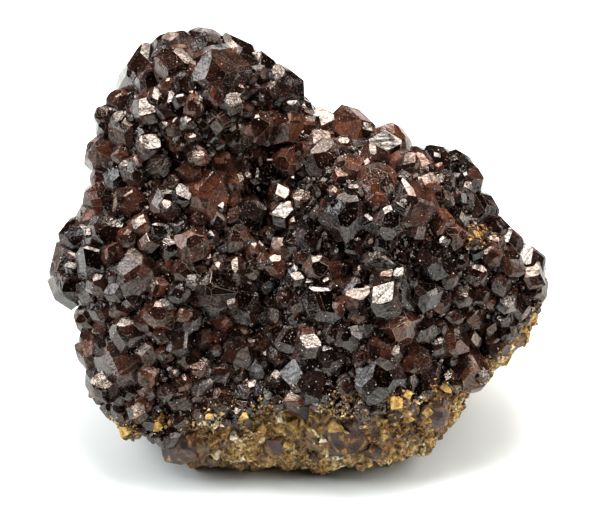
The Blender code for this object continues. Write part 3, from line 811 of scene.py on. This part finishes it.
def rock_material():
    """Skarn rock, broken and weathered: granular ochre and olive with rust, cream and dark grains, nearly matt."""
    made, tree, place = new_material("weathered_rock")
    hollow_shade, patch = (
        add_node(tree, "ShaderNodeAttribute", output="Fac", attribute_name=name) for name in ("hollow_shade", "patch")
    )
    # The patch says which mineral lies where, and a finer noise breaks it up
    fine = add_node(tree, "ShaderNodeTexNoise", cloudy(place, 1.2, 3.5, 0.7))
    spread = add_node(tree, "ShaderNodeMath", {0: fine, 1: 0.9, 2: -0.45}, operation="MULTIPLY_ADD")
    mineral = add_node(tree, "ShaderNodeMath", {0: patch, 1: spread}, operation="ADD", use_clamp=True)
    base = add_node(tree, "ShaderNodeValToRGB", {"Fac": mineral}, stops=ROCK_COLOURS)
    # Grains of some 0.5 mm stand in each other's shade
    speckle = add_node(tree, "ShaderNodeTexNoise", cloudy(place, 0.55, 2.0))
    shade = add_node(tree, "ShaderNodeValToRGB", {"Fac": speckle}, stops=((0.38, 0.09), (0.50, 0.62), (0.58, 1.0)))
    speckled = add_node(tree, "ShaderNodeMix", {FACTOR: 0.9, FIRST: base, SECOND: shade}, MIXED, **MULTIPLIED)
    # Painted shade: the low places between the rock's blocks and chips are darkened towards near black
    dark = add_node(tree, "ShaderNodeMix", {FACTOR: hollow_shade, FIRST: speckled, SECOND: "#1b120a"}, MIXED, **BLENDED)
    rough = add_node(tree, "ShaderNodeBump", {"Height": speckle, "Strength": 0.8, "Distance": 0.2 * MM})
    gloss_range = {"Value": fine, "From Min": 0.40, "From Max": 0.60, "To Min": 0.42, "To Max": 0.80}
    glassy = add_node(tree, "ShaderNodeMapRange", gloss_range)
    finish_material(tree, {"Base Color": dark, "Roughness": glassy, "Normal": rough})
    return made


# Pieces

# Where the brightest faces are: (across, up, width of the face) in millimetres
GLINTS_MM = (
    (-19.2, 32.5, 1.8), (-10.2, 30.8, 2.2), (-10.3, 23.0, 2.2), (-21.1, 23.9, 2.0), (-22.3, 16.9, 2.4),
    (-23.8, 14.3, 1.6), (-21.0, 15.1, 1.3), (-15.1, 15.1, 2.0), (-7.6, 15.5, 1.3), (-11.1, 14.9, 1.0),
    (-16.6, 13.6, 1.7), (-19.9, 19.6, 1.1), (-16.2, 17.8, 1.1), (-15.0, 23.2, 1.0), (-26.1, 13.6, 1.0),
    (3.1, 17.5, 2.6), (0.3, 8.9, 2.1), (1.1, 11.2, 1.3), (-3.1, 27.5, 1.9), (-17.4, 9.4, 2.2),
    (-2.7, 9.4, 2.1), (-22.5, 22.3, 2.8), (-9.0, 11.6, 1.2), (-19.9, 7.6, 1.4), (-2.7, 6.4, 2.2),
    (-31.3, 3.5, 1.0), (-16.1, -3.5, 1.7), (-13.9, -0.2, 1.3), (-19.8, -7.1, 1.3), (-17.1, -8.5, 1.6),
    (-8.4, -10.7, 1.1), (-7.2, -12.7, 0.9), (-19.9, -20.0, 1.8), (-28.9, -18.7, 3.0), (-15.1, -16.3, 1.8),
    (-18.6, -17.2, 1.0), (-7.2, -19.1, 1.2), (-12.4, -12.2, 2.0), (-4.5, 3.4, 1.2), (15.3, 7.7, 1.7),
    (5.5, 1.3, 1.2), (-0.3, -3.2, 1.5), (8.8, -5.5, 3.0), (12.4, -5.6, 3.5), (3.8, -3.5, 1.0),
    (34.5, -2.5, 2.6), (30.8, -6.7, 2.1), (30.4, -9.1, 1.5), (19.5, -8.8, 0.9), (1.5, -12.8, 2.4),
    (14.1, -14.0, 1.4), (19.8, -16.9, 1.5), (-0.8, -20.9, 2.1), (8.8, -8.2, 1.9), (12.8, -2.6, 1.5),
    (14.7, -2.6, 1.5), (24.8, 10.6, 1.3), (-24.0, -22.9, 2.1), (-9.4, -23.0, 1.3), (9.2, -22.6, 2.0),
    (27.1, -17.6, 1.4), (12.6, 17.2, 3.4), (16.2, 14.2, 1.9), (9.8, 19.1, 1.5), (-27.0, 20.5, 1.6),
    (-29.4, 21.4, 1.8), (-5.7, -1.1, 1.1), (-10.2, -6.8, 1.2), (-11.7, 7.4, 1.2), (6.0, 12.4, 1.5),
    (23.2, 5.9, 1.6), (-33.8, -1.6, 1.6),
)


# How far a bright face stands out over its seat, as a part of its crystal's diameter
PROUD = 0.12


def build_bright_faced(draw, crystals):
    """Crystals that each show one broad bright face, seated where it was read, just above what lies there."""
    read = np.array(GLINTS_MM) * MM
    tree = surface_tree(crystals)
    aims = in_world(face_points(read[:, 0], read[:, 1]))
    seats, _, met = first_met(tree, aims + OUT * 20 * MM, aims - OUT * 10 * MM)
    diameters = read[met, 2] / BROAD_FACE_WIDTH
    middles = seats + OUT * PROUD * diameters[:, None] - GLINT_DIRECTION * BROAD_FACE_DISTANCE * diameters[:, None]
    forms = [crystal_form(draw, draw.uniform(0.92, 1.04), 0.03, 0.012, 8, BROAD_FACE) for _ in range(12)]
    turns = broad_face_turns(draw, len(diameters))
    piece = grown_crystals("garnets_bright_faced", forms, middles, diameters, turns, draw)
    return piece, (middles - FACE_CENTRE) @ FACE_TURN, diameters


def build_crystals(draw):
    """The druse: the crystals read on the face, larger ones over the rim and back, and small ones between."""
    stepped = [crystal_form(draw, draw.uniform(0.92, 1.06), 0.035, 0.011, 20) for _ in range(24)]
    plain = [crystal_form(draw, draw.uniform(0.93, 1.02), 0.03, 0) for _ in range(12)]
    pieces = []
    all_places, all_diameters = np.zeros((0, 3)), np.zeros(0)

    def seat(part, forms, places, diameters, turns):
        """Joins crystals in a piece, and keeps where they are."""
        nonlocal all_places, all_diameters
        pieces.append(grown_crystals("garnets_" + part, forms, in_world(places), diameters, turns, draw))
        all_places = np.vstack((all_places, places))
        all_diameters = np.append(all_diameters, diameters)

    for part, entries in CRYSTALS_MM.items():
        read = np.array(entries) * MM
        diameters = read[:, 2] * VISIBLE_TO_WHOLE
        places = face_points(read[:, 0], read[:, 1])
        places[:, 2] -= CRYSTAL_SUNK * diameters + LARGE_SUNK * np.clip(diameters - LARGE_CRYSTAL, 0, None)
        places = kept_inside(places, diameters, 0.0)
        turns = rim_turns(random_turns(draw, len(places)), places, diameters)
        seat(part, stepped, places, diameters, turns)
    bright_faced, bright_places, bright_diameters = build_bright_faced(draw, pieces)
    pieces.append(bright_faced)
    all_places = np.vstack((all_places, bright_places))
    all_diameters = np.append(all_diameters, bright_diameters)

    # Over the rim and the back
    angle, latitude = crust_places(draw, 4000, lambda angle: crust_edge(angle) + math.radians(3))
    rim = latitude < math.radians(12)
    angle, latitude = angle[rim], latitude[rim]
    sizes = draw.triangular(3.8, 5.6, 8.6, len(angle)) * MM
    places = kept_inside(body_points(angle, latitude, 0.16 * sizes), sizes, draw.uniform(-1.2, 0, len(sizes)) * MM)
    places, sizes = largest_first(places, sizes, all_places, all_diameters, 0.33)
    seat("rim", stepped, places, sizes, rim_turns(random_turns(draw, len(sizes)), places, sizes))

    # Small ones between
    tries = 9000
    angle, latitude = crust_places(draw, tries)
    sizes = draw.triangular(1.6, 2.6, 4.2, tries) * MM
    places = body_points(angle, latitude, -draw.uniform(-0.08, 0.22, tries) * sizes)
    places = kept_inside(places, sizes, -0.6 * MM)
    places, sizes = largest_first(places, sizes, all_places, all_diameters * 0.86, 0.38)
    seat("between", plain, places, sizes, some_glinting(draw, random_turns(draw, len(sizes)), 0.10))

    # Tiny ones in what is left clear, worked out in 14 lots to spare memory
    rhombs = [crystal_form(draw, 0.86, 0.05, 0) for _ in range(8)]
    tries = 14000
    angle, latitude = crust_places(draw, tries)
    sizes = draw.triangular(0.5, 0.8, 1.5, tries) * MM
    places = body_points(angle, latitude, draw.uniform(-0.5, 0.3, tries) * MM)
    clear = np.concatenate([
        (np.linalg.norm(lot[:, None] - all_places, axis=2) - 0.43 * all_diameters).min(axis=1)
        for lot in np.array_split(places, 14)
    ])
    chosen = np.flatnonzero(clear > 0)[:5200]
    turns = some_glinting(draw, random_turns(draw, len(chosen)), 0.30)
    seat("tiny", rhombs, places[chosen], sizes[chosen], turns)
    return pieces


def outward_at(points):
    """Unit directions from the rock's middle."""
    outward = points - ROCK_MIDDLE
    return outward / np.linalg.norm(outward, axis=-1)[..., None]


def build_crust_layer():
    """The massive garnet under the crystals: out over the face and back along the rock, closed at its edge."""
    columns = 360
    turns_out = np.linspace(0, 1, 70)

    def place(angles, travel):
        outer = travel >= 0
        edge = crust_edge(angles)
        latitude = edge + (math.pi / 2 - edge) * np.abs(travel)
        inset = np.where(outer, 0.25 * MM, CRUST_THICKNESS)
        points = in_world(body_points(angles, latitude, inset))
        near, _, _ = grains(points, 1.6 * MM, 5)
        swell = (0.5 - near) * 0.9 * MM * outer
        return points + outward_at(points) * swell[..., None]

    travel = np.concatenate((-(1 - turns_out[::2]), turns_out))
    points = ball_grid(columns, travel, place)
    loops, sizes = ball_faces(columns, len(travel) - 2)
    count = len(sizes)
    # The layer's fixed tint and gleam give it a middling painted glow
    values = {"tint": np.full(count, 0.3), "gleam": np.full(count, 0.8), "worn": np.zeros(count)}
    return mesh_object("garnet_layer", points, loops, sizes, np.zeros((len(loops), 2)), values)


# Where the flanks are drawn in a little: (angle in degrees, depth in millimetres), and how far to each side
DRAWN_IN = ((335, 1.7), (236, 1.5))
DRAWN_IN_WIDTH = 0.38


def rock_surface(angles, latitudes):
    """The rock: the body lowered under the crust, broken flat behind, with lumps, blocks and pits outside it."""
    under = np.clip((latitudes - crust_edge(angles)) / EDGE_STEP, 0, 1)
    inset = CRUST_THICKNESS * under * under * (3 - 2 * under)
    points = in_world(body_points(angles, latitudes, inset))
    for direction, distance_mm in BREAKS:
        normal = np.array(direction) / np.linalg.norm(direction)
        beyond = (points - ROCK_MIDDLE) @ normal - distance_mm * MM
        points = points - normal * (np.clip(beyond, 0, None) * (1 - under))[..., None]
    bare = 1 - 0.7 * under
    near, _, block = grains(points, BLOCK_SPACING, 1)
    near_small, _, chip = grains(points, CHIP_SPACING, 2)
    height = octaves(points, LUMP_SPACING, 4, 3) * 0.55 * LUMP_HEIGHT
    height += (0.45 - near) * 1.1 * MM + (block - 0.5) * 1.1 * MM
    height += (0.5 - near_small) * 0.35 * MM + (chip - 0.5) * 0.45 * MM
    pits = np.clip(octaves(points, 3.5 * MM, 2, 9) - 0.35, 0, 1)
    height -= pits * 1.8 * MM
    for towards_deg, depth_mm in DRAWN_IN:
        turned = np.abs((angles - math.radians(towards_deg) + math.pi) % math.tau - math.pi)
        height -= depth_mm * MM * np.clip(1 - turned / DRAWN_IN_WIDTH, 0, 1)
    moved = points + outward_at(points) * (height * bare)[..., None]
    moved[..., 2] = np.maximum(moved[..., 2], 0)
    return moved


def rock_patch(points):
    """Which of the rock's minerals lies where, from 0 to 1: broken blocks of some 3 mm, ochre in the seams."""
    near, second, own = grains(points + noise(points, 1.5 * MM, 31)[..., None] * 0.5 * MM, 3.2 * MM, 33)
    seam = np.clip(1.2 - (second - near) / 0.30, 0, 1)
    ochre = np.clip(0.5 + 1.5 * octaves(points, 7 * MM, 2, 21), 0, 1)
    # Painted shade: behind, the rock is darker and less ochre, to temper the lamps' light there
    behind = np.clip((points[..., 1] - FACE_CENTRE[1]) / (18 * MM), 0, 1)
    block = 0.16 + 0.44 * own + 0.24 * ochre - 0.16 * behind
    ochre = ochre * (1 - 0.5 * behind)
    return np.clip(block + (0.72 - block) * seam * (0.35 + 0.65 * ochre) + 0.10 * noise(points, 1 * MM, 35), 0, 1)


def build_rock():
    columns = 680
    # Rows lie close where the rock shows, and wide apart underneath and under the crust
    rows = (np.linspace(-90, -62, 20), np.linspace(-60, 55, 190), np.linspace(57, 90, 14))
    latitudes = np.radians(np.concatenate(rows))
    points = ball_grid(columns, latitudes, rock_surface)
    loops, sizes = ball_faces(columns, len(latitudes) - 2)
    near, _, _ = grains(points, BLOCK_SPACING, 1)
    near_small, _, chip = grains(points, CHIP_SPACING, 2)
    # Painted shade in the low places between blocks and chips, far from their middles
    hollow_shade = np.clip((near - 0.60) * 2.0, 0, 0.6) + np.clip((near_small - 0.62) * 1.6, 0, 0.4)
    patch = np.clip(rock_patch(points) + (chip - 0.5) * 0.25, 0, 1)
    values = {"hollow_shade": hollow_shade, "patch": patch}
    return mesh_object("rock_surface", points, loops, sizes, point_values=values, smooth=True)


def grain_form(draw, corners, flatness=1.0):
    """An angular broken grain of about unit diameter: the hull of a few uneven points round it."""
    around_it = draw.normal(size=(corners, 3))
    around_it *= (draw.uniform(0.36, 0.52, corners) / np.linalg.norm(around_it, axis=1))[:, None]
    around_it[:, 2] *= flatness
    shape, enclosed = hull_of(around_it)
    bmesh.ops.delete(shape, geom=enclosed, context="VERTS")
    form = form_arrays(shape)
    shape.free()
    return form


def scattered_grains(name, forms, places, diameters, turns, patches, draw):
    """Joins many grains, each with the number that says which mineral it is."""
    picks = draw.integers(len(forms), size=len(places))

    def surface_values(form, chosen):
        patch = np.repeat(patches[chosen], len(form["sizes"]))
        return {"patch": patch, "hollow_shade": np.zeros(len(patch))}

    scales = np.repeat(diameters[:, None], 3, axis=1)
    return joined_copies(name, forms, picks, scales, turns, places, surface_values)


def build_grains(draw):
    """Grains bedded all over the bare rock."""
    forms = [grain_form(draw, 7) for _ in range(24)]
    tries = 20000
    angle = draw.uniform(0, math.tau, tries)
    latitude = np.arcsin(draw.uniform(-0.96, np.sin(crust_edge(angle) + EDGE_STEP)))
    places = rock_surface(angle, latitude)
    # Most grains lie on the front band, which is seen closest
    front = (places[:, 1] < FACE_CENTRE[1]) | (draw.random(tries) < 0.35)
    # They lie thick in some places and leave the broken rock bare in others
    thick = octaves(places, 5 * MM, 2, 51) > draw.uniform(-0.9, 0.5, tries)
    chosen = np.flatnonzero((places[:, 2] > 0.5 * MM) & front & thick)[:2400]
    places = places[chosen]
    diameters = draw.triangular(0.4, 0.9, 3.4, len(chosen)) * MM
    places = places - outward_at(places) * 0.22 * diameters[:, None]
    patches = np.clip(rock_patch(places) + draw.normal(0.04, 0.15, len(chosen)), 0, 1)
    turns = random_turns(draw, len(chosen))
    return scattered_grains("rock_grains", forms, places, diameters, turns, patches, draw)


# Yellow flakes and patches on the rock and the crust: (across, up, size) in millimetres
FLAKES_MM = (
    (-1.05, -25.8, 1.7), (5.1, -25.5, 1.8), (-8.3, -24.5, 1.3), (-13.5, -24.3, 1.0), (-2.2, -28.5, 0.9),
    (2.0, -24.2, 1.0), (16.2, -24.6, 1.4), (-21.5, -25.6, 1.2), (-26.0, -26.5, 1.6), (12.6, -27.2, 1.0),
    (14.4, -22.0, 1.5), (16.0, -21.0, 1.1), (21.8, -20.0, 1.5), (19.0, -23.6, 1.1),
)
YELLOW_PATCHES_MM = (
    (14.6, -22.2, 2.2), (21.5, -20.2, 2.6), (26.5, 3.0, 1.8), (-20.5, -24.8, 1.2), (-7.5, -26.5, 2.4),
    (-5.0, -23.6, 1.6), (19.5, -27.0, 2.2), (24.5, -22.0, 2.6), (9.5, -28.0, 1.8), (15.5, -26.0, 1.6),
    (-25.8, -26.6, 1.6), (-13.0, -27.5, 1.6),
)


def surface_tree(pieces):
    """A tree of the pieces' triangles, for finding where a straight line first meets them."""
    corners, triangles, start = [], [], 0
    for piece in pieces:
        mesh = piece.data
        mesh.calc_loop_triangles()
        points = np.empty(len(mesh.vertices) * 3, np.float32)
        mesh.vertices.foreach_get("co", points)
        picks = np.empty(len(mesh.loop_triangles) * 3, np.int32)
        mesh.loop_triangles.foreach_get("vertices", picks)
        corners.append(points.reshape(-1, 3))
        triangles.append(picks.reshape(-1, 3) + start)
        start += len(mesh.vertices)
    corners, triangles = np.concatenate(corners).tolist(), np.concatenate(triangles).tolist()
    return BVHTree.FromPolygons(corners, triangles, all_triangles=True)


RAY_LENGTH = 0.04


def first_met(tree, starts, aims):
    """Where lines towards the aims first meet the tree: places, distances beyond the aims, and which lines met."""
    found, beyond, met = [], [], []
    for start, aim in zip(starts, aims):
        towards = Vector(aim - start)
        place, _, _, away = tree.ray_cast(Vector(start), towards.normalized(), RAY_LENGTH)
        met.append(place is not None)
        if place:
            found.append(place[:])
            beyond.append(away - towards.length)
    return np.array(found).reshape(-1, 3), np.array(beyond), np.array(met)


def dropped_on_face(tree, across, up):
    """Places where things thrown square at the face come to rest."""
    aims = in_world(face_points(across, up))
    return first_met(tree, aims + OUT * 20 * MM, aims)[0]


def build_flakes(draw, tree):
    """Flat crusts of yellow ochre, each lying on what is under it, a little proud."""
    forms = [grain_form(draw, 10, 0.3) for _ in range(8)]
    spots = np.array(FLAKES_MM) * MM
    places = dropped_on_face(tree, spots[:, 0], spots[:, 1]) + OUT * 0.45 * MM
    turns = []
    for _ in spots:
        spin = draw.uniform(0, math.tau)
        turn = np.array([[math.cos(spin), -math.sin(spin), 0], [math.sin(spin), math.cos(spin), 0], [0, 0, 1]])
        turns.append(FACE_TURN @ turn)
    patches = np.full(len(spots), 0.78)
    return scattered_grains("ochre_flakes", forms, places, spots[:, 2] * 1.75, np.array(turns), patches, draw)


GRAINS_IN_PATCH = 90


def build_ochre_patches(draw, tree):
    """Clusters of ochre grains fallen on the rock and the crystals."""
    forms = [grain_form(draw, 8) for _ in range(12)]
    places, diameters, patches = [], [], []
    for across, up, spread in np.array(YELLOW_PATCHES_MM) * MM:
        thrown_across = draw.normal(across, spread * 0.5, GRAINS_IN_PATCH)
        thrown_up = draw.normal(up, spread * 0.4, GRAINS_IN_PATCH)
        fallen = dropped_on_face(tree, thrown_across, thrown_up)
        places.append(fallen)
        diameters.append(draw.uniform(0.3, 1.0, len(fallen)) * MM)
        patches.append(draw.uniform(0.40, 0.76, len(fallen)))
    places, diameters, patches = np.concatenate(places), np.concatenate(diameters), np.concatenate(patches)
    turns = random_turns(draw, len(places))
    return scattered_grains("ochre_grains", forms, places, diameters, turns, patches, draw)


def build_edge_grains(draw, tree):
    """Rock grains caught among the lowest crystals, so that the druse has no sharp edge. They lie in patches."""
    tries = 6000
    angle = draw.uniform(0, math.tau, tries)
    above = np.abs(draw.normal(0, 5, tries))
    latitude = crust_edge(angle) + np.radians(above)
    aims = in_world(body_points(angle, latitude))
    patchy = octaves(aims, 4 * MM, 2, 41) > 0.02 + above / 40
    aims, angle, latitude = aims[patchy], angle[patchy], latitude[patchy]
    places, _, _ = first_met(tree, in_world(body_points(angle, latitude, -15 * MM)), aims)
    forms = [grain_form(draw, 7) for _ in range(12)]
    diameters = draw.triangular(0.25, 0.45, 1.1, len(places)) * MM
    patches = np.clip(rock_patch(places) + draw.normal(0.12, 0.2, len(places)), 0, 1)
    turns = random_turns(draw, len(places))
    return scattered_grains("edge_grains", forms, places, diameters, turns, patches, draw)


def build_fragments(draw):
    """Broken pieces of garnet bedded in the rock, thickest just under the druse."""
    forms = [crystal_form(draw, draw.uniform(0.9, 1.1), 0.16, 0, 12) for _ in range(16)]
    tries = 1500
    angle = draw.uniform(0, math.tau, tries)
    latitude = crust_edge(angle) - np.radians(np.abs(draw.normal(0, 16, tries)) - 3)
    places = rock_surface(angle, latitude)
    sizes = draw.triangular(0.9, 1.6, 4.2, tries) * MM
    kept = np.flatnonzero(places[:, 2] > 1.5 * MM)
    kept = kept[np.argsort(-sizes[kept])]
    kept = kept[spaced(places[kept], sizes[kept], np.zeros((0, 3)), np.zeros(0), 0.75)][:150]
    bedded = places[kept] - outward_at(places[kept]) * 0.30 * sizes[kept][:, None]
    return grown_crystals("garnet_fragments", forms, bedded, sizes[kept], random_turns(draw, len(kept)), draw)


def build_dust(draw, tree):
    """Pale specks caught on the crystals: tiny grains where rays from outside first meet the druse."""
    angle, latitude = crust_places(draw, 7000)
    starts = in_world(body_points(angle, latitude, -15 * MM))
    fallen, beyond, _ = first_met(tree, starts, in_world(body_points(angle, latitude)))
    hits = fallen[(beyond > -0.8 * MM) | (draw.random(len(fallen)) < 0.25)]
    forms = [grain_form(draw, 6) for _ in range(6)]
    diameters = draw.triangular(0.10, 0.16, 0.42, len(hits)) * MM
    patches = draw.uniform(0.86, 1, len(hits))
    turns = random_turns(draw, len(hits))
    return scattered_grains("pale_specks", forms, hits, diameters, turns, patches, draw)


# The single garnets in the rock: (across, up, diameter) in millimetres
ROCK_GARNETS_MM = {"left": (-17.6, -28.2, 5.6), "middle": (7.2, -25.8, 7.4), "right": (19.4, -23.4, 5.2)}


def build_rock_garnets(draw, material):
    """The three garnets apart in the rock: worn crystals, more uneven than those of the druse."""
    for side, (across, up, diameter) in ROCK_GARNETS_MM.items():
        form = crystal_form(draw, 1.04, 0.09, 0.02, 24)
        place = face_points(np.array([across * MM]), np.array([up * MM])) - np.array((0, 0, 0.42 * diameter * MM))
        whole = np.array([diameter * 1.12 * MM])
        turn = random_turns(draw, 1)
        piece = grown_crystals("worn_garnet_" + side, [form], in_world(place), whole, turn, draw)
        piece.data.materials.append(material)
        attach(piece, "root")
        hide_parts("rock_garnet_" + side)


def build_stage():
    """A plain pale floor, wide enough to fill the view."""
    side = 3.0
    points = np.array([(-side, -side, 0), (side, -side, 0), (side, side, 0), (-side, side, 0)])
    floor = mesh_object("floor", points, np.arange(4), np.array([4]))
    made, tree, _ = new_material("pale_floor")
    finish_material(tree, {"Base Color": "#ccd2d4", "Roughness": 0.9})
    floor.data.materials.append(made)


WARM_WHITE = (1.0, 0.955, 0.90)
DAYLIGHT = (0.86, 0.93, 1.0)


def add_softbox(name, direction, distance, side, radiance, colour=WARM_WHITE, mirrored=True):
    """A square lamp of one even brightness, turned to the specimen. Its power is radiance times pi times area.

    A lamp that isn't mirrored only fills shadows: polished faces don't show it.
    """
    light = bpy.data.lights.new(name, "AREA")
    light.shape = "SQUARE"
    light.size = side
    light.color = colour
    light.energy = radiance * math.pi * side * side
    lamp = bpy.data.objects.new(name, light)
    bpy.context.scene.collection.objects.link(lamp)
    towards = Vector(direction).normalized()
    lamp.location = Vector((0, 0, 0.03)) + towards * distance
    lamp.rotation_euler = towards.to_track_quat("Z", "Y").to_euler()
    lamp.visible_glossy = mirrored


def build_lights():
    add_softbox("overhead_sheet", (0, 0.50, 0.87), 0.42, 0.34, 4.9)
    add_softbox("overhead_lamp", LAMP, 0.40, 0.14, 13)
    add_softbox("overhead_hood", LAMP, 0.41, 0.24, 10.5)
    add_softbox("left_panel", (-0.90, -0.10, 0.55), 0.40, 0.22, 7.5, DAYLIGHT)
    add_softbox("right_panel", (0.88, -0.35, 0.45), 0.40, 0.16, 7.0)
    add_softbox("left_fill", (-0.78, 0.12, 0.62), 0.45, 0.39, 6.2, mirrored=False)
    add_softbox("right_fill", (0.78, 0.12, 0.62), 0.45, 0.39, 6.2, mirrored=False)
    add_softbox("back_fill", (0, 0.9, 0.5), 0.45, 0.39, 2.0, mirrored=False)
    world = bpy.data.worlds.new("studio")
    bpy.context.scene.world = world
    world.use_nodes = True
    background = world.node_tree.nodes["Background"]
    background.inputs["Color"].default_value = (1, 1, 1, 1)
    background.inputs["Strength"].default_value = 0.02


# The photograph shows 0.15 mm to a pixel, and is this many pixels wide
MM_TO_PIXEL = 0.15
PIXELS_WIDE = 600


def build_camera():
    """A long lens square to the face, so that a millimetre across the face is the same all over the picture."""
    data = bpy.data.cameras.new("camera")
    data.sensor_width = 36
    data.lens = 400
    data.clip_start, data.clip_end = 0.05, 20
    width = PIXELS_WIDE * MM_TO_PIXEL * MM
    distance = width * data.lens / data.sensor_width
    camera = bpy.data.objects.new("camera", data)
    bpy.context.scene.collection.objects.link(camera)
    aim = FACE_CENTRE
    camera.location = Vector(aim + OUT * distance)
    camera.rotation_euler = Vector(OUT).to_track_quat("Z", "Y").to_euler()
    bpy.context.scene.camera = camera


def main():
    draw = np.random.default_rng(20)
    garnet = garnet_material()
    rock = rock_material()
    crystals = build_crystals(draw)
    layer = build_crust_layer()
    for piece in (*crystals, layer):
        piece.data.materials.append(garnet)
        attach(piece, "root")
    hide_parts("garnet_crust")
    surface = build_rock()
    surface.data.materials.append(rock)
    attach(surface, "root")
    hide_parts("rock_matrix")
    dull = dull_garnet_material()
    fragments = build_fragments(draw)
    fragments.data.materials.append(dull)
    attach(fragments, "root")
    build_rock_garnets(draw, dull)
    rock_grains = build_grains(draw)
    tree = surface_tree((*crystals, layer, surface, fragments, rock_grains))
    loose = (rock_grains, build_ochre_patches(draw, tree), build_edge_grains(draw, tree))
    for piece in loose:
        piece.data.materials.append(rock)
    flakes = build_flakes(draw, tree)
    flakes.data.materials.append(ochre_material())
    dust = build_dust(draw, tree)
    dust.data.materials.append(dust_material())
    for piece in (*loose, flakes, dust):
        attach(piece, "root")
    build_stage()
    build_lights()
    build_camera()
    bpy.context.scene.view_settings.view_transform = "Standard"


main()
